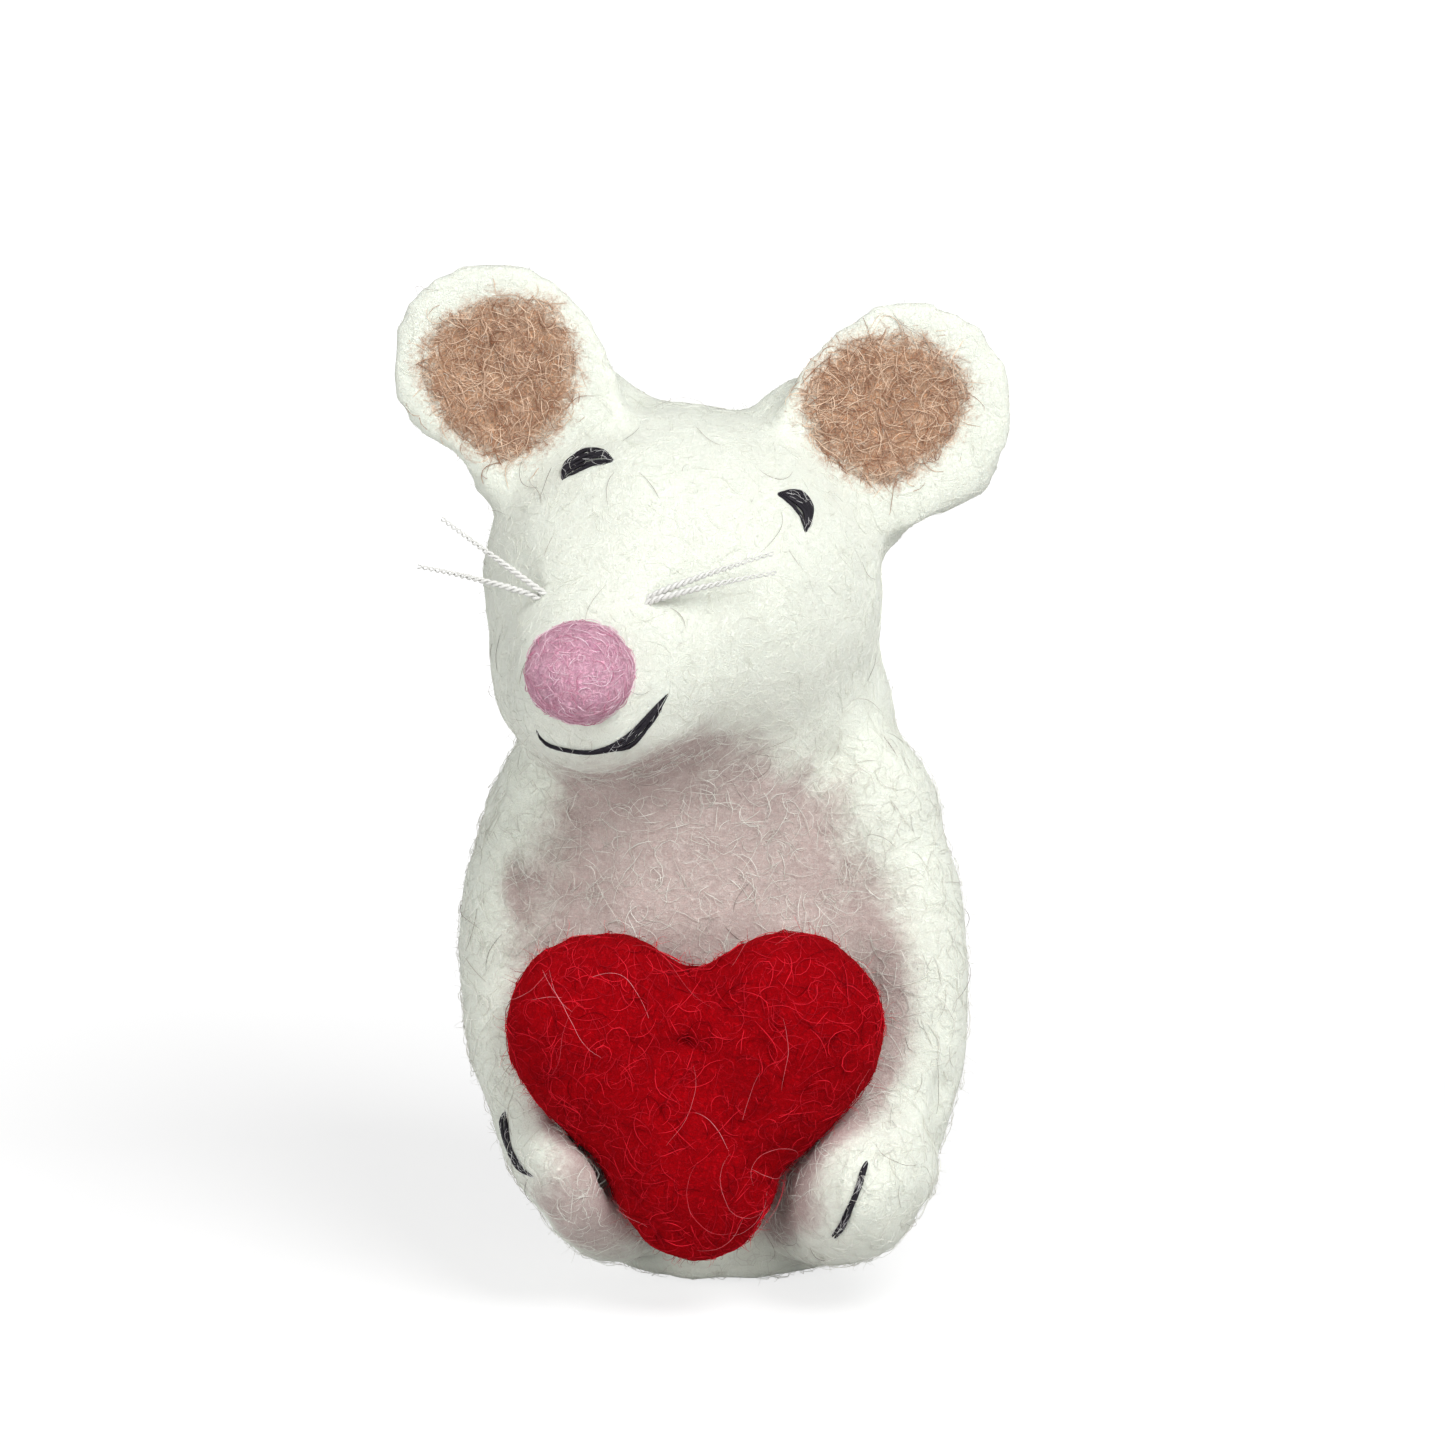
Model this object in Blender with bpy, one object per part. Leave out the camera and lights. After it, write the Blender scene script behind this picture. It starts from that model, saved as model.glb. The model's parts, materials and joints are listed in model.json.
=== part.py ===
"""A felted mouse finger puppet that hugs a heart.

Its front faces -Y, +Z is up, and it stands on the hem of its hollow body.
Left and right are the viewer's, looking along +Y. All sizes are in metres.
"""
import math

import bmesh
import bpy
from mathutils import Matrix, Vector
from mathutils.bvhtree import BVHTree
from mathutils.geometry import interpolate_bezier

# Clearance between two pieces of felt that touch
SEAT_GAP = 0.0003

# Torso, a bag of felt, open at the hem
HEM_HALF_WIDTH = 0.0116
HEM_HALF_DEPTH = 0.0118
HEM_SHIFT = 0.0018
BELLY_HEIGHT = 0.0270
BELLY_HALF_WIDTH = 0.0200
BELLY_HALF_DEPTH = 0.0172
NECK_HEIGHT = 0.0560
NECK_HALF_WIDTH = 0.0188
NECK_HALF_DEPTH = 0.0138
TORSO_TOP_IN_HEAD = 0.0120
TORSO_RINGS = 21
RING_POINTS = 32

# Finger pocket in the torso
HEM_WALL = 0.0028
POCKET_DEPTH = 0.0500

# Hollow of the chest, under the chin
CHEST_HOLLOW = 0.0024
CHEST_HEIGHT = 0.0450
CHEST_HALF_HEIGHT = 0.0090

# Head, a ball that leans forward over the chest
HEAD_HALF_WIDTH = 0.0204
HEAD_HALF_DEPTH = 0.0184
HEAD_HALF_HEIGHT = 0.0180
HEAD_ABOVE_NECK = 0.0150
HEAD_SHIFT = -0.0028
HEAD_LEAN = 0.0030

# Cheek that fills the head out on the side it looks to
CHEEK_RADIUS = 0.0112
CHEEK_SHIFT = -0.0082
CHEEK_LEAN = 0.0070
CHEEK_DROP = 0.0070

# Snout, a tapered cone of felt from the head
SNOUT_TURN = math.radians(-27.0)
SNOUT_RISE = math.radians(-18.0)
SNOUT_LENGTH = 0.0295
SNOUT_ROOT_RADIUS = 0.0160
SNOUT_TIP_RADIUS = 0.0083

# Nose ball on the snout's tip
NOSE_HALF_WIDTH = 0.0054
NOSE_HALF_HEIGHT = 0.0050
NOSE_STANDOFF = 0.0012
NOSE_TURN = math.radians(-7.0)
NOSE_RISE = math.radians(29.0)

# Ears, cupped discs of felt, and the linings in them
EAR_RADIUS = 0.0107
EAR_ROOT_LENGTH = 0.0070
EAR_ROOT_HALF_WIDTH = 0.0115
EAR_HALF_THICKNESS = 0.0021
EAR_CUP = 0.0022
EAR_CUP_REACH = 1.3
EAR_DISTANCE = 0.0282
EAR_SET_BACK = 0.0040
LEFT_EAR_ANGLE = math.radians(-41.0)
RIGHT_EAR_ANGLE = math.radians(52.0)
EAR_TILT = math.radians(-12.0)
LINING_RADIUS = 0.0080
LINING_HALF_THICKNESS = 0.0016
LINING_DROP = 0.0020

# Arms, tubes of felt from the shoulders to the paws
ARM_RADIUS = 0.0056
SHOULDER_RADIUS = 0.0068
SHOULDER_HALF_SPAN = 0.0150
SHOULDER_DROP = 0.0060
SHOULDER_LEAN = 0.0050
ELBOW_HALF_SPAN = 0.0221
ELBOW_HEIGHT = 0.0375
WRIST_HALF_SPAN = 0.0197
WRIST_HEIGHT = 0.0172
WRIST_LEAN = 0.0120
ARM_SHIFT = 0.0004
LEFT_PAW_RADIUS = 0.0066
RIGHT_PAW_RADIUS = 0.0078
PAW_HALF_SPAN = 0.0153
LEFT_PAW_HEIGHT = 0.0150
RIGHT_PAW_HEIGHT = 0.0134
PAW_LEAN = 0.0200

# Heels, where the paws run back into the belly above the hem
HEEL_RADIUS = 0.0052
HEEL_HALF_SPAN = 0.0096
HEEL_HEIGHT = 0.0072
HEEL_LEAN = 0.0120

# Heart, a puffy felt heart held before the belly
HEART_LOBE_RADIUS = 0.0099
HEART_HALF_SPAN = 0.0093
HEART_LOBE_HEIGHT = 0.0300
HEART_TIP_RADIUS = 0.0075
HEART_TIP_HEIGHT = 0.0130
HEART_FILL_RADIUS = 0.0060
HEART_HALF_THICKNESS = 0.0070
HEART_SHIFT = -0.0016
HEART_LEAN = 0.0215

# Embroidered eyes, arched upwards: where each lies on the head, and its slant
EYE_HALF_WIDTH = 0.0028
EYE_RISE = 0.0029
EYE_THREAD_RADIUS = 0.0008
LEFT_EYE_TURN = math.radians(-54.0)
LEFT_EYE_HEIGHT = math.radians(47.5)
LEFT_EYE_SLANT = math.radians(46.0)
RIGHT_EYE_TURN = math.radians(44.5)
RIGHT_EYE_HEIGHT = math.radians(34.0)
RIGHT_EYE_SLANT = math.radians(-77.0)

# Embroidered smile under the nose, thick at one end
MOUTH_HALF_WIDTH = 0.0074
MOUTH_DROP = 0.0041
MOUTH_THIN_RADIUS = 0.0003
MOUTH_THICK_RADIUS = 0.0008
MOUTH_TURN = math.radians(6.5)
MOUTH_HEIGHT = math.radians(-2.5)
MOUTH_SLANT = math.radians(12.0)

# One claw stitch on each paw
CLAW_HALF_LENGTH = 0.0046
CLAW_THREAD_RADIUS = 0.00045
LEFT_CLAW_TURN = math.radians(-52.0)
LEFT_CLAW_HEIGHT = math.radians(21.0)
LEFT_CLAW_SLANT = math.radians(-34.0)
RIGHT_CLAW_TURN = math.radians(-18.0)
RIGHT_CLAW_HEIGHT = math.radians(4.0)
RIGHT_CLAW_SLANT = math.radians(65.0)

# Whiskers, two threads on each side of the snout
WHISKER_LENGTH = 0.0135
WHISKER_RADIUS = 0.0002
WHISKER_SPACING = 0.0010
LEFT_WHISKER_TURN = math.radians(-130.0)
RIGHT_WHISKER_TURN = math.radians(79.0)
WHISKER_HEIGHT = math.radians(60.0)
LEFT_UPPER_LAY = (-0.75, 0.42, 0.45)
LEFT_LOWER_LAY = (-0.88, 0.38, 0.12)
RIGHT_UPPER_LAY = (0.94, 0.02, 0.34)
RIGHT_LOWER_LAY = (0.97, 0.02, 0.22)

# Wool and thread colours
WHITE_WOOL = (0.83, 0.85, 0.80)
RED_WOOL = (0.45, 0.005, 0.012)
PINK_WOOL = (0.72, 0.33, 0.50)
TAN_WOOL = (0.50, 0.29, 0.18)
BLACK_THREAD = (0.018, 0.016, 0.022)
WHITE_THREAD = (0.80, 0.80, 0.78)

# Fineness of the felted surfaces and of the threads
BODY_GRAIN = 0.0026
LIMB_GRAIN = 0.0021
HEART_GRAIN = 0.0015
FELTING_PASSES = 6
PEARLS = 14
STITCH_STEPS = 12
STITCH_TAPER = 0.8
BALL_SEGMENTS = 24
BALL_RINGS = 14
TOP_ROUNDING = 1.25
FAR = 0.2


def clear_scene():
    for old in list(bpy.data.objects):
        bpy.data.objects.remove(old, do_unlink=True)


def material(name, colour, roughness):
    made = bpy.data.materials.new(name)
    made.use_nodes = True
    shader = made.node_tree.nodes["Principled BSDF"]
    shader.inputs["Base Color"].default_value = (*colour, 1.0)
    shader.inputs["Roughness"].default_value = roughness
    shader.inputs["Metallic"].default_value = 0.0
    return made


def object_from(name, bm):
    mesh = bpy.data.meshes.new(name)
    bm.to_mesh(mesh)
    bm.free()
    made = bpy.data.objects.new(name, mesh)
    bpy.context.scene.collection.objects.link(made)
    return made


def bake(thing):
    """Put the result of an object's modifiers in its mesh."""
    bpy.context.view_layer.update()
    graph = bpy.context.evaluated_depsgraph_get()
    result = bpy.data.meshes.new_from_object(thing.evaluated_get(graph))
    thing.modifiers.clear()
    thing.data = result
    return thing


def cut(thing, *cutters):
    """Take the cutters away from an object."""
    for cutter in cutters:
        step = thing.modifiers.new("cut", "BOOLEAN")
        step.operation = "DIFFERENCE"
        step.solver = "EXACT"
        step.object = cutter
    return bake(thing)


def grown(thing, amount=SEAT_GAP):
    """A cutter that follows an object's surface, a clearance outside it."""
    copy = bpy.data.objects.new(thing.name + "_room", thing.data.copy())
    bpy.context.scene.collection.objects.link(copy)
    copy.hide_render = True
    copy.display_type = "WIRE"
    swell = copy.modifiers.new("swell", "DISPLACE")
    swell.strength = amount
    swell.mid_level = 0.0
    return bake(copy)


def add_ball(bm, centre, radii):
    place = Matrix.Translation(centre) @ Matrix.Diagonal((*radii, 1.0))
    bmesh.ops.create_uvsphere(bm, u_segments=BALL_SEGMENTS, v_segments=BALL_RINGS,
                              radius=1.0, matrix=place)


def add_pearls(bm, path, start_radius, end_radius, flatness=1.0):
    """Overlapping balls along a path, whose radius runs from start to end."""
    last = len(path) - 1
    for number, point in enumerate(path):
        radius = start_radius + (end_radius - start_radius) * number / last
        add_ball(bm, point, (radius, radius * flatness, radius))


def felt(name, bm, grain):
    """Felt overlapping lumps into one smooth closed body."""
    body = object_from(name, bm)
    mat = body.modifiers.new("felting", "REMESH")
    mat.mode = "VOXEL"
    mat.voxel_size = grain
    mat.use_smooth_shade = True
    soften = body.modifiers.new("soften", "SMOOTH")
    soften.factor = 0.5
    soften.iterations = FELTING_PASSES
    return bake(body)


def direction(turn, rise):
    """A unit vector: turn goes from the front (-Y) towards +X, rise goes up."""
    level = math.cos(rise)
    return Vector((math.sin(turn) * level, -math.cos(turn) * level, math.sin(rise)))


def torso_size(height):
    """Half width and half depth of the torso at a height, and its shift."""
    if height < BELLY_HEIGHT:
        share = math.sin(0.5 * math.pi * max(height, 0.0) / BELLY_HEIGHT)
        low = (HEM_HALF_WIDTH, HEM_HALF_DEPTH, HEM_SHIFT)
        high = (BELLY_HALF_WIDTH, BELLY_HALF_DEPTH, 0.0)
    else:
        climb = (height - BELLY_HEIGHT) / (NECK_HEIGHT - BELLY_HEIGHT)
        share = 0.5 - 0.5 * math.cos(math.pi * min(climb, 1.0))
        low = (BELLY_HALF_WIDTH, BELLY_HALF_DEPTH, 0.0)
        high = (NECK_HALF_WIDTH, NECK_HALF_DEPTH, 0.0)
    half_width, half_depth, shift = [a + (b - a) * share for a, b in zip(low, high)]
    inside_head = max(height - NECK_HEIGHT, 0.0) / (TORSO_TOP_IN_HEAD * TOP_ROUNDING)
    closing = math.sqrt(1.0 - inside_head ** 2)
    return half_width * closing, half_depth * closing, shift


def chest_hollow(height, angle):
    """How far the front of the torso is pressed in at a height and an angle."""
    climb = (height - CHEST_HEIGHT) / CHEST_HALF_HEIGHT
    front = max(-math.sin(angle), 0.0)
    return CHEST_HOLLOW * math.exp(-climb * climb) * front ** 4


def add_torso(bm):
    """The torso's outer form, from below the hem up into the head."""
    bottom = -2.0 * BODY_GRAIN
    top = NECK_HEIGHT + TORSO_TOP_IN_HEAD
    rings = []
    for step in range(TORSO_RINGS):
        height = bottom + (top - bottom) * step / (TORSO_RINGS - 1)
        half_width, half_depth, shift = torso_size(height)
        ring = []
        for corner in range(RING_POINTS):
            angle = 2.0 * math.pi * corner / RING_POINTS
            across = shift + half_width * math.cos(angle)
            deep = half_depth * math.sin(angle) + chest_hollow(height, angle)
            ring.append(bm.verts.new((across, deep, height)))
        rings.append(ring)
    for lower, upper in zip(rings, rings[1:]):
        for corner in range(RING_POINTS):
            beyond = (corner + 1) % RING_POINTS
            bm.faces.new((lower[corner], lower[beyond], upper[beyond], upper[corner]))
    bm.faces.new(list(reversed(rings[0])))
    bm.faces.new(rings[-1])


def head_centre():
    return Vector((HEAD_SHIFT, -HEAD_LEAN, NECK_HEIGHT + HEAD_ABOVE_NECK))


def snout_axis():
    return direction(SNOUT_TURN, SNOUT_RISE)


def muzzle_centre():
    """Middle of the snout's round tip."""
    return head_centre() + snout_axis() * (SNOUT_LENGTH - SNOUT_TIP_RADIUS)


def body_form():
    """Torso, head, cheek and snout, felted together, before it is hollowed."""
    bm = bmesh.new()
    add_torso(bm)
    head = head_centre()
    add_ball(bm, head, (HEAD_HALF_WIDTH, HEAD_HALF_DEPTH, HEAD_HALF_HEIGHT))
    cheek = head + Vector((CHEEK_SHIFT, -CHEEK_LEAN, -CHEEK_DROP))
    add_ball(bm, cheek, (CHEEK_RADIUS, CHEEK_RADIUS, CHEEK_RADIUS))
    path = [head.lerp(muzzle_centre(), step / PEARLS) for step in range(PEARLS + 1)]
    add_pearls(bm, path, SNOUT_ROOT_RADIUS, SNOUT_TIP_RADIUS)
    return felt("body", bm, BODY_GRAIN)


def below_hem():
    """A block under the hem plane, to cut the hem flat."""
    bm = bmesh.new()
    side = 4.0 * BELLY_HALF_WIDTH
    place = Matrix.Translation((0.0, 0.0, -0.5 * side))
    bmesh.ops.create_cube(bm, size=side, matrix=place)
    block = object_from("below_hem", bm)
    block.hide_render = True
    block.display_type = "WIRE"
    return block


def finger_pocket():
    """The finger pocket, a round-ended well that runs out past the hem."""
    bm = bmesh.new()
    half_width = HEM_HALF_WIDTH - HEM_WALL
    half_depth = HEM_HALF_DEPTH - HEM_WALL
    bmesh.ops.create_uvsphere(bm, u_segments=BALL_SEGMENTS, v_segments=BALL_RINGS, radius=1.0)
    for vertex in bm.verts:
        across, deep, up = vertex.co
        height = POCKET_DEPTH - half_width + up * half_width if up > 0.0 else -HEM_WALL
        shift = HEM_SHIFT if up < 0.0 else HEM_SHIFT * (1.0 - height / POCKET_DEPTH)
        vertex.co = (shift + across * half_width, deep * half_depth, height)
    well = object_from("finger_pocket", bm)
    well.hide_render = True
    well.display_type = "WIRE"
    return well


def nose():
    bm = bmesh.new()
    aim = direction(NOSE_TURN, NOSE_RISE)
    centre = muzzle_centre() + aim * (SNOUT_TIP_RADIUS + NOSE_STANDOFF)
    add_ball(bm, centre, (NOSE_HALF_WIDTH, NOSE_HALF_WIDTH, NOSE_HALF_HEIGHT))
    return object_from("nose", bm)


def ear_place(angle):
    """Where an ear's disc lies: its middle, with its root towards the head."""
    away = Vector((math.sin(angle), 0.0, math.cos(angle)))
    middle = head_centre() + away * EAR_DISTANCE + Vector((0.0, EAR_SET_BACK, 0.0))
    roll = Matrix.Rotation(angle, 4, "Y")
    tilt = Matrix.Rotation(EAR_TILT, 4, "X")
    return Matrix.Translation(middle) @ roll @ tilt


def cupped_disc(name, angle, radius, root_length, root_width, half_thickness, place):
    """A thick disc, cupped towards the front and drawn out at its root."""
    bm = bmesh.new()
    bmesh.ops.create_uvsphere(bm, u_segments=BALL_SEGMENTS, v_segments=BALL_RINGS, radius=1.0)
    lift, drop = place
    for vertex in bm.verts:
        across, thick, up = vertex.co
        rooted = max(-up, 0.0)
        pinch = min(2.0 * rooted, 1.0)
        length = radius + root_length * rooted
        width = radius + (root_width - radius) * pinch * pinch * (3.0 - 2.0 * pinch)
        spot = Vector((across * width, 0.0, up * length - drop))
        cup = EAR_CUP * min(spot.length / EAR_RADIUS, EAR_CUP_REACH) ** 2
        vertex.co = (spot.x, thick * half_thickness - cup - lift, spot.z)
    bmesh.ops.transform(bm, matrix=ear_place(angle), verts=bm.verts)
    return object_from(name, bm)


def paw_centre(side):
    height = LEFT_PAW_HEIGHT if side < 0 else RIGHT_PAW_HEIGHT
    return Vector((ARM_SHIFT + side * PAW_HALF_SPAN, -PAW_LEAN, height))


def arm(name, side, paw_radius):
    """An arm from its shoulder down the side and round to the paw in front."""
    paw = paw_centre(side)
    shoulder_height = NECK_HEIGHT - SHOULDER_DROP
    shoulder = Vector((ARM_SHIFT + side * SHOULDER_HALF_SPAN, -SHOULDER_LEAN, shoulder_height))
    elbow = Vector((ARM_SHIFT + side * ELBOW_HALF_SPAN, -SHOULDER_LEAN, ELBOW_HEIGHT))
    wrist = Vector((ARM_SHIFT + side * WRIST_HALF_SPAN, -WRIST_LEAN, WRIST_HEIGHT))
    path = interpolate_bezier(shoulder, elbow, wrist, paw, PEARLS)
    bm = bmesh.new()
    add_pearls(bm, path, SHOULDER_RADIUS, ARM_RADIUS)
    heel = Vector((ARM_SHIFT + side * HEEL_HALF_SPAN, -HEEL_LEAN, HEEL_HEIGHT))
    add_pearls(bm, [paw.lerp(heel, step / PEARLS) for step in range(PEARLS + 1)],
               paw_radius, HEEL_RADIUS)
    return felt(name, bm, LIMB_GRAIN)


def heart():
    bm = bmesh.new()
    flatness = HEART_HALF_THICKNESS / HEART_LOBE_RADIUS
    tip = Vector((HEART_SHIFT, -HEART_LEAN, HEART_TIP_HEIGHT))
    for side in (-1, 1):
        lobe = Vector((HEART_SHIFT + side * HEART_HALF_SPAN, -HEART_LEAN, HEART_LOBE_HEIGHT))
        path = [lobe.lerp(tip, step / PEARLS) for step in range(PEARLS + 1)]
        add_pearls(bm, path, HEART_LOBE_RADIUS, HEART_TIP_RADIUS, flatness)
    fill = Vector((HEART_SHIFT, -HEART_LEAN, HEART_LOBE_HEIGHT))
    add_ball(bm, fill, (HEART_FILL_RADIUS, HEART_HALF_THICKNESS, HEART_FILL_RADIUS))
    return felt("heart", bm, HEART_GRAIN)


def tube(name, points, radii):
    """A round thread through points, with its ends closed."""
    line = bpy.data.curves.new(name, "CURVE")
    line.dimensions = "3D"
    line.bevel_depth = 1.0
    line.bevel_resolution = 1
    line.use_fill_caps = True
    spline = line.splines.new("POLY")
    spline.points.add(len(points) - 1)
    for spot, point, radius in zip(spline.points, points, radii):
        spot.co = (*point, 1.0)
        spot.radius = radius
    guide = bpy.data.objects.new(name, line)
    bpy.context.scene.collection.objects.link(guide)
    bpy.context.view_layer.update()
    graph = bpy.context.evaluated_depsgraph_get()
    mesh = bpy.data.meshes.new_from_object(guide.evaluated_get(graph))
    bpy.data.objects.remove(guide)
    made = bpy.data.objects.new(name, mesh)
    bpy.context.scene.collection.objects.link(made)
    return made


def skin_of(thing):
    bm = bmesh.new()
    bm.from_mesh(thing.data)
    skin = BVHTree.FromBMesh(bm)
    bm.free()
    return skin


def on_skin(skin, middle, aim):
    """Where a line from the middle of a lump, along aim, leaves the skin."""
    return skin.ray_cast(middle + aim * FAR, -aim)[0]


def stitch(name, skin, middle, place, half_width, rise, radii):
    """An embroidered arc on a skin, seen from the middle of the lump it is on."""
    turn, height, slant = place
    reach = (on_skin(skin, middle, direction(turn, height)) - middle).length
    points = []
    thickness = []
    for step in range(STITCH_STEPS + 1):
        along = 2.0 * step / STITCH_STEPS - 1.0
        across = along * half_width
        up = rise * (1.0 - along * along)
        level = across * math.cos(slant) - up * math.sin(slant)
        climb = across * math.sin(slant) + up * math.cos(slant)
        aim = direction(turn + level / (reach * math.cos(height)), height + climb / reach)
        points.append(on_skin(skin, middle, aim) + aim * SEAT_GAP)
        fullness = math.sqrt(1.0 - STITCH_TAPER * along * along)
        share = 0.5 + 0.5 * along
        thickness.append(fullness * (radii[0] + (radii[1] - radii[0]) * share))
    return tube(name, points, thickness)


def eye(name, skin, place):
    radii = (EYE_THREAD_RADIUS, EYE_THREAD_RADIUS)
    return stitch(name, skin, head_centre(), place, EYE_HALF_WIDTH, EYE_RISE, radii)


def mouth(skin):
    place = (MOUTH_TURN, MOUTH_HEIGHT, MOUTH_SLANT)
    radii = (MOUTH_THIN_RADIUS, MOUTH_THICK_RADIUS)
    return stitch("mouth", skin, muzzle_centre(), place, MOUTH_HALF_WIDTH, -MOUTH_DROP, radii)


def claw_stitch(name, skin, side, place):
    radii = (CLAW_THREAD_RADIUS, CLAW_THREAD_RADIUS)
    return stitch(name, skin, paw_centre(side), place, CLAW_HALF_LENGTH, 0.0, radii)


def whisker(name, skin, turn, drop, lay):
    """One whisker, a straight thread whose root rests on the snout."""
    middle = muzzle_centre()
    reach = (on_skin(skin, middle, direction(turn, WHISKER_HEIGHT)) - middle).length
    aim = direction(turn, WHISKER_HEIGHT - drop / reach)
    root = on_skin(skin, middle, aim) + aim * (SEAT_GAP + WHISKER_RADIUS)
    tip = root + Vector(lay).normalized() * WHISKER_LENGTH
    points = [root.lerp(tip, step / STITCH_STEPS) for step in range(STITCH_STEPS + 1)]
    return tube(name, points, [WHISKER_RADIUS] * len(points))


def centre_on_origin(pieces):
    """Stand the puppet on z = 0 with the middle of its box over the origin."""
    corners = [vertex.co for piece in pieces for vertex in piece.data.vertices]
    middle = [0.5 * (min(c[k] for c in corners) + max(c[k] for c in corners)) for k in (0, 1)]
    frame = bpy.data.objects.new("puppet", None)
    bpy.context.scene.collection.objects.link(frame)
    frame.location = (-middle[0], -middle[1], 0.0)
    for piece in pieces:
        piece.parent = frame


def finish(piece, colour, roughness):
    """Give a piece its own material and smooth shading."""
    piece.data.materials.clear()
    piece.data.materials.append(material(piece.name + "_wool", colour, roughness))
    piece.data.shade_smooth()


def main():
    clear_scene()
    body = body_form()
    skin = skin_of(body)
    body_room = grown(body)
    heart_piece = cut(heart(), body_room)
    heart_room = grown(heart_piece)
    left_arm = arm("left_arm", -1, LEFT_PAW_RADIUS)
    right_arm = arm("right_arm", 1, RIGHT_PAW_RADIUS)
    left_place = (LEFT_CLAW_TURN, LEFT_CLAW_HEIGHT, LEFT_CLAW_SLANT)
    right_place = (RIGHT_CLAW_TURN, RIGHT_CLAW_HEIGHT, RIGHT_CLAW_SLANT)
    claws = [
        cut(claw_stitch("left_claw_stitch", skin_of(left_arm), -1, left_place), grown(left_arm)),
        cut(claw_stitch("right_claw_stitch", skin_of(right_arm), 1, right_place), grown(right_arm)),
    ]
    arms = [cut(left_arm, body_room, heart_room), cut(right_arm, body_room, heart_room)]
    ears = []
    linings = []
    for side, angle in (("left", LEFT_EAR_ANGLE), ("right", RIGHT_EAR_ANGLE)):
        ear = cupped_disc(side + "_ear", angle, EAR_RADIUS, EAR_ROOT_LENGTH,
                          EAR_ROOT_HALF_WIDTH, EAR_HALF_THICKNESS, (0.0, 0.0))
        cut(ear, body_room)
        ears.append(ear)
        lining = cupped_disc(side + "_ear_lining", angle, LINING_RADIUS, 0.0,
                             LINING_RADIUS, LINING_HALF_THICKNESS,
                             (EAR_HALF_THICKNESS, LINING_DROP))
        linings.append(cut(lining, grown(ear), body_room))
    nose_piece = cut(nose(), body_room)
    left_eye = (LEFT_EYE_TURN, LEFT_EYE_HEIGHT, LEFT_EYE_SLANT)
    right_eye = (RIGHT_EYE_TURN, RIGHT_EYE_HEIGHT, RIGHT_EYE_SLANT)
    face = [
        cut(eye("left_eye", skin, left_eye), body_room),
        cut(eye("right_eye", skin, right_eye), body_room),
        cut(mouth(skin), body_room, grown(nose_piece)),
    ]
    whiskers = []
    for name, turn, drop, lay in (
            ("left_whisker_upper", LEFT_WHISKER_TURN, 0.0, LEFT_UPPER_LAY),
            ("left_whisker_lower", LEFT_WHISKER_TURN, WHISKER_SPACING, LEFT_LOWER_LAY),
            ("right_whisker_upper", RIGHT_WHISKER_TURN, 0.0, RIGHT_UPPER_LAY),
            ("right_whisker_lower", RIGHT_WHISKER_TURN, WHISKER_SPACING, RIGHT_LOWER_LAY)):
        whiskers.append(cut(whisker(name, skin, turn, drop, lay), body_room))
    cut(body, below_hem(), finger_pocket())
    for piece in [body] + arms + ears:
        finish(piece, WHITE_WOOL, 0.95)
    finish(heart_piece, RED_WOOL, 0.9)
    finish(nose_piece, PINK_WOOL, 0.9)
    for piece in linings:
        finish(piece, TAN_WOOL, 0.95)
    for piece in face + claws:
        finish(piece, BLACK_THREAD, 0.6)
    for piece in whiskers:
        finish(piece, WHITE_THREAD, 0.6)
    for spare in [thing for thing in bpy.data.objects if thing.hide_render]:
        bpy.data.objects.remove(spare)
    centre_on_origin([body, heart_piece, nose_piece] + arms + ears + linings + face
                     + claws + whiskers)


main()
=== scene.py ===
import json
import math

import bmesh
import bpy
import numpy as np
from mathutils import Matrix, Vector, noise
from mathutils.bvhtree import BVHTree

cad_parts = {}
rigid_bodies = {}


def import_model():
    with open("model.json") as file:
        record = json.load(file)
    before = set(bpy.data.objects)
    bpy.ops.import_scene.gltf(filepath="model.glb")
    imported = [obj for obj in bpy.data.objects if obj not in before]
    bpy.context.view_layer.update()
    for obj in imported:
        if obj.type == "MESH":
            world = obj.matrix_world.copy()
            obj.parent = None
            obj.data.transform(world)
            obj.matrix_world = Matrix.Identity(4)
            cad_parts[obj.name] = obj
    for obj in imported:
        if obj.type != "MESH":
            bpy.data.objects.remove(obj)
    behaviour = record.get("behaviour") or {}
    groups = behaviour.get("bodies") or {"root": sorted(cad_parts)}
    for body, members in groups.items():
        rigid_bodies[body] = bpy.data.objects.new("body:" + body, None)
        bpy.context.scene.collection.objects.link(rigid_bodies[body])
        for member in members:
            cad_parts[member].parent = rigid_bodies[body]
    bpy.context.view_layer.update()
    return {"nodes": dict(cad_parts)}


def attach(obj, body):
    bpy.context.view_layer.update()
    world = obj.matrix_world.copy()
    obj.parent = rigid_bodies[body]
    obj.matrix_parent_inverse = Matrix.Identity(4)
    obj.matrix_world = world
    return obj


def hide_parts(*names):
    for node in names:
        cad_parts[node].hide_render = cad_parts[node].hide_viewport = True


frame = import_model()

# Camera, at the photo's angle
PHOTO = 1445
VIEW_RISE = math.radians(16.0)
VIEW_DISTANCE = 2.0
VIEW_TARGET = Vector((0.0021, 0.00087, 0.0578))
VIEW_WIDTH = 0.1445
SENSOR = 36.0

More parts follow.
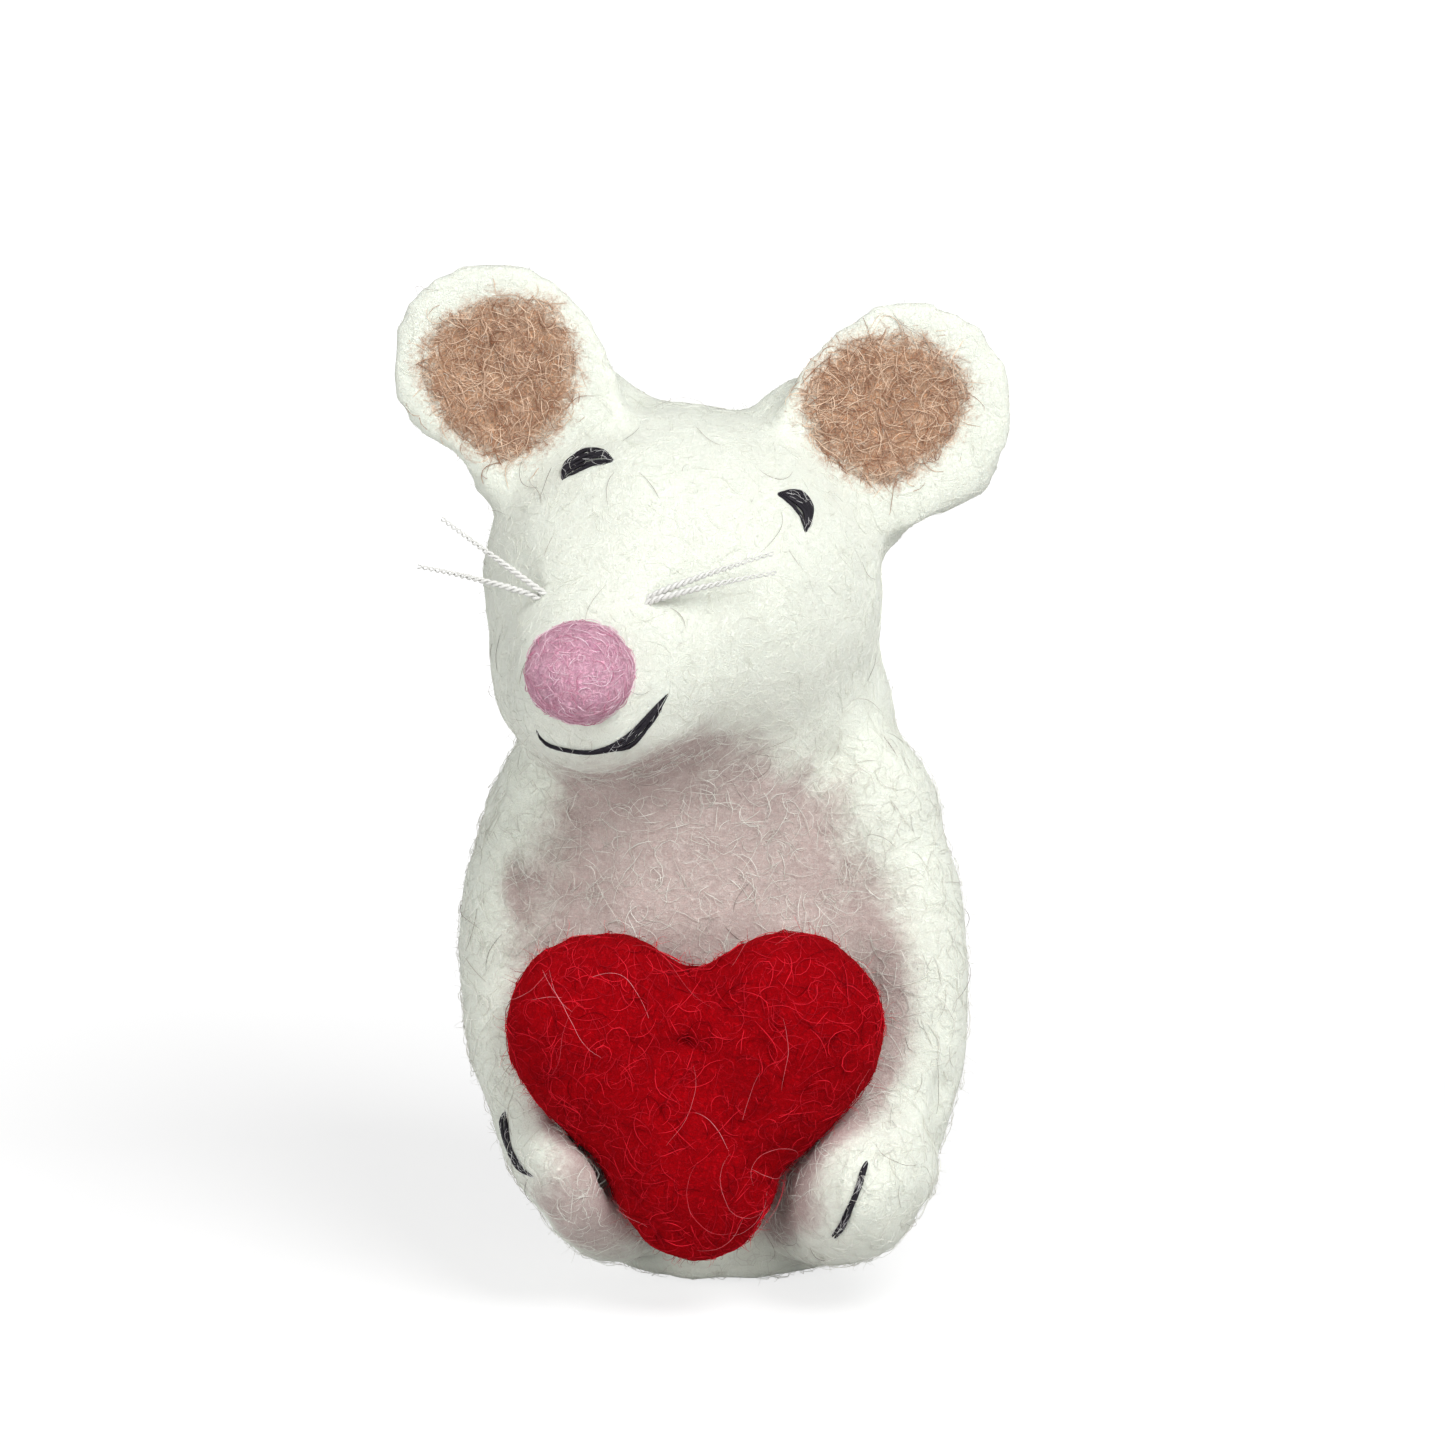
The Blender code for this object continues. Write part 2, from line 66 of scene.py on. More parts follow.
# White skin
SKIN_NODES = ("body", "left_arm", "right_arm", "left_ear", "right_ear")
SKIN_GROWTH = 0.00028
SKIN_VOXEL = 0.00122
SKIN_SMOOTHING = 12
SHRINK = 0.60
SWELL = -0.55
HEM_EASE = 0.004
LUMPS = ((0.0110, 0.00035), (0.0042, 0.00020), (0.0017, 0.00007))
# Painted shade in recesses: number of rays, their lift off the skin and their reach
RECESS_RAYS = 20
RECESS_LIFT = 0.0004
RECESS_REACH = 0.030
FIBRE_FLOOR = 0.0001
POCKET_CENTRE = (0.00275, 0.00887)
POCKET_REACH = (0.0103, 0.0105)
POCKET_TOP = 0.0515

# Felt that fills the ears out: photo pixel, radius and half thickness, all at the ears' depth
EAR_DEPTH = 0.0100
EAR_FILLS = (
    ((958, 466), 0.0040, 0.0023),
    ((935, 488), 0.0030, 0.0024),
    ((886, 520), 0.0028, 0.0034),
    ((476, 440), 0.0030, 0.0023),
    ((486, 468), 0.0030, 0.0030),
    ((596, 390), 0.0032, 0.0032),
    ((616, 406), 0.0030, 0.0032),
    ((640, 420), 0.0026, 0.0030),
    ((800, 402), 0.0030, 0.0030),
    ((781, 416), 0.0028, 0.0030),
    ((760, 427), 0.0024, 0.0028),
)

# Spots of painted shade under the chin, across the chest, in the armpits and on the paws: pixel, reach in
# pixels and strength
PAINTED_SHADE_SPOTS = (
    ((600, 825), 32, 0.26),
    ((655, 835), 40, 0.36),
    ((765, 815), 36, 0.36),
    ((790, 875), 30, 0.30),
    ((700, 865), 66, 0.36),
    ((680, 925), 70, 0.34),
    ((525, 885), 16, 0.24),
    ((850, 945), 36, 0.16),
    ((578, 1218), 46, 0.55),
    ((800, 1225), 26, 0.20),
)
# The most painted shade that the skin takes
PAINTED_SHADE_MOST = 0.60
# Above this height the painted recess shade is cut to this share
HEAD_LEVEL = 0.066
HEAD_RECESS = 0.40

# Pulls that bring an outline to the photo's: pixel, shift in pixels, and reach in pixels
SKIN_PULLS = (
    ((440, 470), (16, -8), 26),
    ((935, 835), (-8, 0), 30),
    ((462, 925), (-7, 0), 40),
    ((485, 1120), (12, 0), 40),
    ((515, 1210), (18, -4), 32),
    ((930, 1225), (-14, -4), 32),
)
HEART_PULLS = (
    ((588, 1165), (14, 0), 28),
    ((793, 1168), (-14, 0), 28),
    ((700, 968), (0, -8), 22),
)

# Creases and folds of the skin: photo pixels, half width and depth
CREASES = (
    (((517, 864), (528, 893), (538, 921)), 0.0010, 0.0010),
    (((878, 880), (890, 896), (899, 914)), 0.0016, 0.0004),
    (((832, 762), (808, 800), (793, 843), (790, 900)), 0.0017, 0.0012),
    (((943, 1088), (940, 1115), (945, 1142)), 0.0013, 0.0009),
    (((905, 1100), (885, 1130), (872, 1150)), 0.0015, 0.0005),
    (((560, 1120), (585, 1150), (600, 1178)), 0.0012, 0.0006),
)

# Tan linings: photo pixels of the outlines
LEFT_LINING = (
    (500, 299), (545, 303), (568, 330), (576, 370), (568, 410), (545, 440),
    (505, 461), (465, 440), (435, 405), (420, 365), (433, 333), (462, 310),
)
RIGHT_LINING = (
    (880, 335), (925, 343), (958, 365), (969, 400), (955, 430), (920, 465),
    (885, 485), (845, 470), (815, 440), (802, 410), (812, 375), (838, 348),
)
LINING_REACH = 1.22
LINING_RAISE = 0.00030
LINING_SINK = 0.00045
LINING_DEPTH = 0.0009

# Heart and nose
HEART_GROWTH = 0.00015
HEART_VOXEL = 0.00095
HEART_SMOOTHING = 8
HEART_CREASES = (
    (((684, 1049), (688, 1053)), 0.0011, 0.0013),
    (((700, 962), (699, 985), (694, 1020), (688, 1050)), 0.0020, 0.0009),
    (((688, 1050), (640, 1100), (600, 1150)), 0.0030, 0.0006),
    (((688, 1050), (740, 1110), (775, 1160)), 0.0030, 0.0006),
)
NOSE_GROWTH = 0.0001
NOSE_VOXEL = 0.0006
NOSE_SMOOTHING = 4

# Stitches: outer and inner edges in photo pixels, number of strands, strand radius
LEFT_EYE = (
    ((562, 483), (561, 475), (565, 462), (578, 452), (591, 449), (604, 451), (615, 460)),
    ((563, 481), (567, 477), (575, 474), (586, 470), (597, 466), (606, 464), (615, 461)),
    7, 0.00019,
)
RIGHT_EYE = (
    ((776, 493), (784, 491), (796, 490), (805, 493), (813, 506), (812, 520), (806, 534)),
    ((776, 494), (781, 498), (787, 503), (794, 509), (800, 516), (802, 523), (805, 534)),
    7, 0.00019,
)
MOUTH = (
    ((535, 724), (540, 736), (553, 745), (585, 750), (612, 743), (631, 729), (649, 710), (671, 690)),
    ((535, 726), (539, 738), (552, 747), (585, 753), (615, 750), (634, 744), (654, 720), (671, 691)),
    5, 0.00016,
)
LEFT_CLAW = (
    ((504, 1109), (501, 1118), (502, 1132), (506, 1146), (513, 1161), (521, 1171), (535, 1179)),
    ((506, 1110), (509, 1122), (510, 1136), (514, 1151), (521, 1163), (527, 1171), (535, 1178)),
    4, 0.00017,
)
RIGHT_CLAW = (
    ((868, 1158), (862, 1168), (857, 1184), (850, 1202), (840, 1222), (829, 1238)),
    ((869, 1160), (866, 1172), (861, 1190), (854, 1208), (845, 1227), (834, 1241)),
    4, 0.00017,
)
STITCH_STEPS = 26
STITCH_SIDES = 7
STITCH_DOME = 0.00022
STITCH_LEAST = 0.00009

# Whiskers: root pixel and how they lie
WHISKERS = (
    ("left_whisker_upper", (545, 594), (-0.75, 0.42, 0.45)),
    ("left_whisker_lower", (540, 598), (-0.88, 0.38, 0.12)),
    ("right_whisker_upper", (646, 598), (0.94, 0.02, 0.34)),
    ("right_whisker_lower", (644, 603), (0.97, 0.02, 0.22)),
)
WHISKER_LENGTH = 0.0135
WHISKER_PLY = 0.00019
WHISKER_TWIST = 0.0014
WHISKER_STEPS = 70

# Colours, linear
IVORY = (0.835, 0.875, 0.775)
IVORY_SHADE = (0.72, 0.72, 0.64)
TAN = (0.60, 0.34, 0.195)
TAN_DARK = (0.33, 0.155, 0.082)
TAN_LIGHT = (0.82, 0.60, 0.43)
RED = (0.40, 0.0012, 0.004)
RED_DARK = (0.22, 0.0008, 0.003)
RED_LIGHT = (0.60, 0.006, 0.014)
PINK = (0.90, 0.54, 0.65)
PINK_DARK = (0.56, 0.20, 0.34)
PINK_LIGHT = (0.95, 0.66, 0.78)
# Partly painted red reflection from the heart, partly red fibre stain
HEART_RED_REFLECTION_AND_STAIN = (0.66, 0.36, 0.38)
# Painted shade, warm pink-brown, and its darkest
PAINTED_SHADE = (0.56, 0.45, 0.42)
PAINTED_SHADE_DARK = (0.40, 0.30, 0.28)
BLACK = (0.006, 0.005, 0.008)
GREY = (0.045, 0.040, 0.050)
WHITE_THREAD_DARK = (0.66, 0.66, 0.63)
WHITE_THREAD = (0.82, 0.82, 0.80)
IVORY_LIGHT = (0.94, 0.955, 0.90)

# Loose fibres, linear: darkest and lightest
HEAD_FIBRES = ((0.84, 0.85, 0.77), (0.95, 0.97, 0.90))
WHITE_FIBRES = ((0.66, 0.64, 0.58), (0.95, 0.97, 0.90))
TAN_FIBRES = ((0.30, 0.13, 0.07), (0.92, 0.70, 0.52))
RED_FIBRES = ((0.16, 0.0005, 0.002), (0.86, 0.020, 0.040))
PALE_CURLS = ((0.60, 0.05, 0.07), (0.80, 0.30, 0.33))
PINK_FIBRES = ((0.60, 0.20, 0.32), (0.98, 0.78, 0.86))
WISPS = ((0.40, 0.39, 0.40), (0.80, 0.80, 0.78))
DARK_HAIRS = ((0.12, 0.09, 0.08), (0.42, 0.36, 0.31))


# Camera geometry

def camera_axes():
    forward = Vector((0.0, math.cos(VIEW_RISE), -math.sin(VIEW_RISE)))
    right = Vector((1.0, 0.0, 0.0))
    return forward, right, right.cross(forward)


FORWARD, RIGHT, UPWARD = camera_axes()
EYE_POINT = VIEW_TARGET - VIEW_DISTANCE * FORWARD
HALF_VIEW = 0.5 * VIEW_WIDTH / VIEW_DISTANCE


def sight(px, py):
    across = (px / (0.5 * PHOTO) - 1.0) * HALF_VIEW
    up = (1.0 - py / (0.5 * PHOTO)) * HALF_VIEW
    return (FORWARD + RIGHT * across + UPWARD * up).normalized()


def seen(tree, px, py):
    """The point and normal of a surface at a pixel of the photo."""
    aim = sight(px, py)
    hit, normal, index, distance = tree.ray_cast(EYE_POINT, aim)
    if hit is None:
        near = EYE_POINT + aim * VIEW_DISTANCE
        hit, normal, index, distance = tree.find_nearest(near)
    return hit, normal


def photo_pixels(points):
    """Photo pixels of an array of points."""
    local = points - np.array(EYE_POINT)
    depth = local @ np.array(FORWARD)
    across = local @ np.array(RIGHT) / depth / HALF_VIEW
    up = local @ np.array(UPWARD) / depth / HALF_VIEW
    half = 0.5 * PHOTO
    return np.stack(((across + 1.0) * half, (1.0 - up) * half), axis=1)


# Mesh helpers

def new_piece(name, mesh):
    piece = bpy.data.objects.new(name, mesh)
    bpy.context.scene.collection.objects.link(piece)
    return piece


def bake(piece):
    graph = bpy.context.evaluated_depsgraph_get()
    mesh = bpy.data.meshes.new_from_object(piece.evaluated_get(graph))
    piece.modifiers.clear()
    piece.data = mesh


def grown_copy(name, nodes, growth):
    """Copies of CAD nodes in one mesh, each grown along its normals."""
    whole = bmesh.new()
    for node in nodes:
        part = bmesh.new()
        part.from_mesh(frame["nodes"][node].data)
        bmesh.ops.remove_doubles(part, verts=part.verts, dist=1e-6)
        bmesh.ops.recalc_face_normals(part, faces=part.faces)
        part.normal_update()
        for vert in part.verts:
            vert.co += vert.normal * growth
        mesh = bpy.data.meshes.new("part")
        part.to_mesh(mesh)
        part.free()
        whole.from_mesh(mesh)
        bpy.data.meshes.remove(mesh)
    mesh = bpy.data.meshes.new(name)
    whole.to_mesh(mesh)
    whole.free()
    return new_piece(name, mesh)


def remesh(piece, voxel):
    modifier = piece.modifiers.new("felt", "REMESH")
    modifier.mode = "VOXEL"
    modifier.voxel_size = voxel
    bake(piece)


def subdivide(piece, levels=1):
    modifier = piece.modifiers.new("round", "SUBSURF")
    modifier.levels = levels
    modifier.render_levels = levels
    bake(piece)


def keep_largest(piece):
    """Removes loose inner shells, so that one closed skin is left."""
    bm = bmesh.new()
    bm.from_mesh(piece.data)
    left = set(bm.verts)
    shells = []
    while left:
        start = left.pop()
        shell = {start}
        stack = [start]
        while stack:
            vert = stack.pop()
            for edge in vert.link_edges:
                other = edge.other_vert(vert)
                if other in left:
                    left.discard(other)
                    shell.add(other)
                    stack.append(other)
        shells.append(shell)
    shells.sort(key=len)
    for shell in shells[:-1]:
        bmesh.ops.delete(bm, geom=list(shell), context="VERTS")
    bm.to_mesh(piece.data)
    bm.free()


def places(mesh):
    flat = np.empty(len(mesh.vertices) * 3)
    mesh.vertices.foreach_get("co", flat)
    return flat.reshape(-1, 3)


def normals_of(mesh):
    flat = np.empty(len(mesh.vertices) * 3, np.float32)
    mesh.vertex_normals.foreach_get("vector", flat)
    return flat.reshape(-1, 3).astype(float)


def set_places(mesh, points):
    mesh.vertices.foreach_set("co", points.reshape(-1))
    mesh.update()


def edge_ends(mesh):
    ends = np.empty(len(mesh.edges) * 2, np.int64)
    mesh.edges.foreach_get("vertices", ends)
    return ends.reshape(-1, 2)


def smooth(piece, rounds):
    """Evens a surface and keeps its volume: each round shrinks it a little and swells it back."""
    mesh = piece.data
    ends = edge_ends(mesh)
    count = np.bincount(ends.reshape(-1), minlength=len(mesh.vertices))[:, None]
    points = places(mesh)
    for share in (SHRINK, SWELL) * rounds:
        total = np.zeros_like(points)
        np.add.at(total, ends[:, 0], points[ends[:, 1]])
        np.add.at(total, ends[:, 1], points[ends[:, 0]])
        points = points + (total / count - points) * share
    set_places(mesh, points)


def tree_of(mesh):
    polygons = [tuple(p.vertices) for p in mesh.polygons]
    return BVHTree.FromPolygons([v.co for v in mesh.vertices], polygons)


def joined_tree(*meshes):
    corners = []
    polygons = []
    for mesh in meshes:
        shift = len(corners)
        corners += [v.co for v in mesh.vertices]
        polygons += [tuple(v + shift for v in p.vertices) for p in mesh.polygons]
    return BVHTree.FromPolygons(corners, polygons)


def spread(mesh, values, rounds):
    """Values of the points of a mesh, evened out over their neighbours."""
    ends = edge_ends(mesh)
    count = np.bincount(ends.reshape(-1), minlength=len(values))
    for _ in range(rounds):
        total = np.zeros_like(values)
        np.add.at(total, ends[:, 0], values[ends[:, 1]])
        np.add.at(total, ends[:, 1], values[ends[:, 0]])
        values = 0.5 * values + 0.5 * total / count
    return values


def lump(piece, layers, seed):
    mesh = piece.data
    points = places(mesh)
    normals = normals_of(mesh)
    shift = Vector((seed * 3.1, seed * 1.7, seed * 2.3))
    height = np.zeros(len(points))
    for size, amount in layers:
        height += amount * np.array([noise.noise(Vector(p) / size + shift) for p in points])
    set_places(mesh, points + normals * height[:, None])


def path_distance(points, path):
    best = np.full(len(points), 1.0)
    for a, b in zip(path[:-1], path[1:]):
        a = np.array(a)
        run = np.array(b) - a
        share = np.clip((points - a) @ run / (run @ run), 0.0, 1.0)
        gap = np.linalg.norm(points - a - share[:, None] * run, axis=1)
        best = np.minimum(best, gap)
    return best


def dent(piece, creases):
    """Presses creases, given as photo pixels, into a surface."""
    mesh = piece.data
    tree = tree_of(mesh)
    points = places(mesh)
    normals = normals_of(mesh)
    depth = np.zeros(len(points))
    for pixels, half_width, amount in creases:
        path = [seen(tree, *pixel)[0] for pixel in pixels]
        gap = path_distance(points, path)
        depth += amount * np.exp(-0.5 * (gap / half_width) ** 2)
    set_places(mesh, points - normals * depth[:, None])


def pull(piece, pulls):
    """Shifts a surface sideways round pixels of the photo, so that its thickness stays."""
    points = places(piece.data)
    pixels = photo_pixels(points)
    moved = points.copy()
    for pixel, shift, reach in pulls:
        gap = np.linalg.norm(pixels - np.array(pixel), axis=1)
        share = np.exp(-0.5 * (gap / reach) ** 2)[:, None]
        step = (RIGHT * shift[0] - UPWARD * shift[1]) * (VIEW_WIDTH / PHOTO)
        moved += share * np.array(step)
    set_places(piece.data, moved)


def set_attribute(mesh, name, values):
    attribute = mesh.attributes.new(name, "FLOAT", "POINT")
    attribute.data.foreach_set("value", np.asarray(values, np.float32))


def shade_smooth(mesh):
    mesh.polygons.foreach_set("use_smooth", [True] * len(mesh.polygons))
    mesh.update()


# Material helpers

def material_tree(name):
    material = bpy.data.materials.new(name)
    material.use_nodes = True
    tree = material.node_tree
    tree.nodes.clear()
    return material, tree


def node(tree, kind, links=(), values=(), **settings):
    """Adds a node; links and values go to its inputs by name or number."""
    made = tree.nodes.new(kind)
    for key, value in settings.items():
        setattr(made, key, value)
    for key, value in dict(values).items():
        made.inputs[key].default_value = value
    for key, source in dict(links).items():
        tree.links.new(source, made.inputs[key])
    return made


def maths(tree, operation, *sources, clamp=False):
    made = tree.nodes.new("ShaderNodeMath")
    made.operation = operation
    made.use_clamp = clamp
    for index, source in enumerate(sources):
        if isinstance(source, (int, float)):
            made.inputs[index].default_value = source
        else:
            tree.links.new(source, made.inputs[index])
    return made.outputs[0]


def mix_colour(tree, factor, a, b):
    made = tree.nodes.new("ShaderNodeMix")
    made.data_type = "RGBA"
    for index, source in ((0, factor), (6, a), (7, b)):
        if isinstance(source, float):
            made.inputs[index].default_value = source
        elif isinstance(source, tuple):
            made.inputs[index].default_value = (*source, 1.0)
        else:
            tree.links.new(source, made.inputs[index])
    return made.outputs[2]


def grain(tree, place, turn, scale, detail=1.0, rough=0.5, warp=0.0):
    """Noise on turned and stretched coordinates, which are in metres."""
    stretch = tuple(1000.0 * s for s in scale)
    mapping = node(tree, "ShaderNodeMapping", {0: place}, {2: turn, 3: stretch})
    values = {"Scale": 1.0, "Detail": detail, "Roughness": rough, "Distortion": warp}
    made = node(tree, "ShaderNodeTexNoise", {"Vector": mapping.outputs[0]}, values)
    return made.outputs[0]


def thin_lines(tree, value, width):
    """1 along the middle level of a noise, falling to 0 at width."""
    gap = maths(tree, "ABSOLUTE", maths(tree, "SUBTRACT", value, 0.5))
    return maths(tree, "SUBTRACT", 1.0, maths(tree, "DIVIDE", gap, width), clamp=True)


STRANDS = (
    ((0.3, 0.1, 0.7), (1.10, 0.45, 0.80), 0.030),
    ((1.1, 0.8, 0.2), (0.50, 1.20, 0.90), 0.028),
    ((2.0, 0.5, 1.4), (0.90, 0.60, 1.30), 0.026),
    ((0.7, 1.9, 2.6), (1.50, 0.70, 0.60), 0.030),
    ((2.7, 1.2, 0.9), (0.75, 1.60, 1.10), 0.032),
    ((1.6, 2.4, 0.4), (1.30, 1.00, 0.55), 0.024),
)


def wool(name, base, dark, light, contrast=0.5, bump=0.6, sheen=0.3, sheen_tint=(1.0, 1.0, 1.0),
         fineness=1.0, tints=(), soft=0.0, gloss=0.06):
    """Felted wool: crossing curly strands, mottled colour and soft lumps."""
    material, tree = material_tree(name)
    place = node(tree, "ShaderNodeTexCoord").outputs["Object"]
    pale = deep = None
    for index, (turn, scale, width) in enumerate(STRANDS):
        scale = tuple(s * fineness for s in scale)
        line = thin_lines(tree, grain(tree, place, turn, scale, 1.5, 0.55, 0.6), width)
        if index % 2:
            deep = line if deep is None else maths(tree, "MAXIMUM", deep, line)
        else:
            pale = line if pale is None else maths(tree, "MAXIMUM", pale, line)
    cloud = grain(tree, place, (0.4, 0.2, 0.1), (0.16, 0.16, 0.16), 3.0, 0.6)
    tuft_scale = (0.55 * fineness, 0.8 * fineness, 0.6 * fineness)
    fine_scale = (3.2 * fineness, 4.4 * fineness, 3.6 * fineness)
    tuft = grain(tree, place, (1.4, 0.6, 0.3), tuft_scale, 3.0, 0.62, 0.8)
    fine = grain(tree, place, (0.9, 1.3, 0.5), fine_scale, 2.0, 0.6)
    drift = maths(tree, "MULTIPLY", cloud, 0.9)
    mottle = maths(tree, "MULTIPLY_ADD", maths(tree, "SUBTRACT", tuft, 0.5), 1.6, drift, clamp=True)
    colour = mix_colour(tree, maths(tree, "MULTIPLY", mottle, contrast), base, dark)
    for attribute, tint, tint_dark, edge, low, high in tints:
        mask = node(tree, "ShaderNodeAttribute", attribute_name=attribute).outputs["Fac"]
        loose = maths(tree, "MULTIPLY_ADD", maths(tree, "SUBTRACT", tuft, 0.5), edge, mask)
        loose = maths(tree, "MULTIPLY_ADD", maths(tree, "SUBTRACT", fine, 0.5), 0.6 * edge, loose)
        share = node(tree, "ShaderNodeMapRange", {0: loose}, {1: low, 2: high},
                     interpolation_type="SMOOTHSTEP").outputs[0]
        tinted = mix_colour(tree, maths(tree, "MULTIPLY", mottle, 1.0), tint, tint_dark)
        colour = mix_colour(tree, share, colour, tinted)
    colour = mix_colour(tree, maths(tree, "MULTIPLY", deep, 0.35 * contrast), colour, dark)
    colour = mix_colour(tree, maths(tree, "MULTIPLY", pale, 0.45 * contrast), colour, light)
    strand = maths(tree, "MAXIMUM", pale, maths(tree, "MULTIPLY", deep, 0.6))
    height = maths(tree, "MULTIPLY_ADD", strand, 0.5, maths(tree, "MULTIPLY", tuft, 1.4))
    height = maths(tree, "MULTIPLY_ADD", fine, 0.35, height)
    relief = node(tree, "ShaderNodeBump", {"Height": height}, {"Strength": bump, "Distance": 0.00022})
    values = {"Roughness": 0.95, "Specular IOR Level": gloss, "Sheen Weight": sheen,
              "Sheen Roughness": 0.6, "Sheen Tint": (*sheen_tint, 1.0),
              "Subsurface Weight": soft, "Subsurface Radius": (1.0, 0.9, 0.8), "Subsurface Scale": 0.0008}
    links = {"Base Color": colour, "Normal": relief.outputs[0]}
    shader = node(tree, "ShaderNodeBsdfPrincipled", links, values)
    node(tree, "ShaderNodeOutputMaterial", {"Surface": shader.outputs[0]})
    return material


def fibre_material(name, dark, light, sheen=0.05, gloss=0.10):
    """Loose fibres, each with its own shade and a change along it."""
    material, tree = material_tree(name)
    place = node(tree, "ShaderNodeTexCoord").outputs["Object"]
    shade = node(tree, "ShaderNodeAttribute", attribute_name="shade").outputs["Fac"]
    change = grain(tree, place, (0.2, 0.5, 0.9), (0.8, 0.8, 0.8), 1.0)
    mixed = maths(tree, "MULTIPLY_ADD", maths(tree, "SUBTRACT", change, 0.5), 0.8, shade, clamp=True)
    colour = mix_colour(tree, mixed, dark, light)
    values = {"Roughness": 0.85, "Specular IOR Level": gloss, "Sheen Weight": sheen}
    shader = node(tree, "ShaderNodeBsdfPrincipled", {"Base Color": colour}, values)
    node(tree, "ShaderNodeOutputMaterial", {"Surface": shader.outputs[0]})
    return material


def thread_material(name, dark, light, roughness):
    """Twisted thread: fine slanted filaments with a soft gloss."""
    material, tree = material_tree(name)
    place = node(tree, "ShaderNodeTexCoord").outputs["Object"]
    ply = grain(tree, place, (0.6, 0.9, 0.3), (2.5, 9.0, 5.0), 2.0, 0.6)
    tone = grain(tree, place, (0.1, 0.4, 0.8), (0.9, 0.9, 0.9), 2.0, 0.6)
    strength = maths(tree, "MULTIPLY", tone, 1.8)
    share = maths(tree, "MULTIPLY", maths(tree, "POWER", ply, 2.0), strength, clamp=True)
    colour = mix_colour(tree, share, dark, light)
    relief = node(tree, "ShaderNodeBump", {"Height": ply}, {"Strength": 0.6, "Distance": 0.00008})
    values = {"Roughness": roughness, "Specular IOR Level": 0.12}
    links = {"Base Color": colour, "Normal": relief.outputs[0]}
    shader = node(tree, "ShaderNodeBsdfPrincipled", links, values)
    node(tree, "ShaderNodeOutputMaterial", {"Surface": shader.outputs[0]})
    return material


# Tubes, for threads and fibres

def tube_mesh(name, paths, radii, sides):
    """Closed tubes along paths of equal length; paths is (count, points, 3), radii (count, points)."""
    count, steps = radii.shape
    ahead = np.gradient(paths, axis=1)
    ahead /= np.linalg.norm(ahead, axis=2, keepdims=True) + 1e-12
    helper = np.where(np.abs(ahead[..., 2:3]) < 0.9, np.array([0.0, 0.0, 1.0]), np.array([1.0, 0.0, 0.0]))
    first = np.cross(ahead, helper)
    for step in range(1, steps):
        along = np.sum(first[:, step - 1] * ahead[:, step], axis=1, keepdims=True)
        carried = first[:, step - 1] - ahead[:, step] * along
        size = np.linalg.norm(carried, axis=1, keepdims=True)
        first[:, step] = np.where(size > 1e-9, carried / (size + 1e-12), first[:, step])
    first /= np.linalg.norm(first, axis=2, keepdims=True) + 1e-12
    second = np.cross(ahead, first)
    turns = np.arange(sides) * 2.0 * math.pi / sides
    ring = (first[:, :, None] * np.cos(turns)[None, None, :, None]
            + second[:, :, None] * np.sin(turns)[None, None, :, None])
    points = paths[:, :, None] + ring * radii[:, :, None, None]
    base = (np.arange(count)[:, None, None] * steps + np.arange(steps - 1)[None, :, None]) * sides
    here = np.arange(sides)[None, None, :]
    there = (here + 1) % sides
    corners = (base + here, base + there, base + there + sides, base + here + sides)
    quads = np.stack(corners, axis=3).reshape(-1, 4)
    starts = np.arange(count)[:, None] * steps * sides
    near_caps = starts + np.arange(sides)[None, ::-1]
    far_caps = starts + (steps - 1) * sides + np.arange(sides)[None, :]
    caps = np.concatenate((near_caps, far_caps))
    mesh = bpy.data.meshes.new(name)
    mesh.vertices.add(count * steps * sides)
    mesh.vertices.foreach_set("co", points.reshape(-1))
    loops = np.concatenate((quads.reshape(-1), caps.reshape(-1)))
    mesh.loops.add(len(loops))
    mesh.loops.foreach_set("vertex_index", loops)
    total = np.concatenate((np.full(len(quads), 4), np.full(len(caps), sides)))
    mesh.polygons.add(len(total))
    mesh.polygons.foreach_set("loop_start", np.concatenate(([0], np.cumsum(total)[:-1])))
    mesh.polygons.foreach_set("loop_total", total)
    mesh.update(calc_edges=True)
    mesh.validate()
    shade_smooth(mesh)
    return mesh


def spots(mesh, allowed, count, generator):
    """Random points on the allowed faces of a mesh, spread by area."""
    mesh.calc_loop_triangles()
    corners = np.empty(len(mesh.loop_triangles) * 3, np.int64)
    mesh.loop_triangles.foreach_get("vertices", corners)
    triangles = places(mesh)[corners].reshape(-1, 3, 3)
    middle = triangles.mean(axis=1)
    square = np.cross(triangles[:, 1] - triangles[:, 0], triangles[:, 2] - triangles[:, 0])
    area = 0.5 * np.linalg.norm(square, axis=1)
    weight = area * allowed(middle)
    chosen = generator.choice(len(triangles), count, p=weight / weight.sum())
    a = generator.random((count, 2))
    flip = a.sum(axis=1) > 1.0
    a[flip] = 1.0 - a[flip]
    t = triangles[chosen]
    return t[:, 0] + a[:, :1] * (t[:, 1] - t[:, 0]) + a[:, 1:] * (t[:, 2] - t[:, 0])


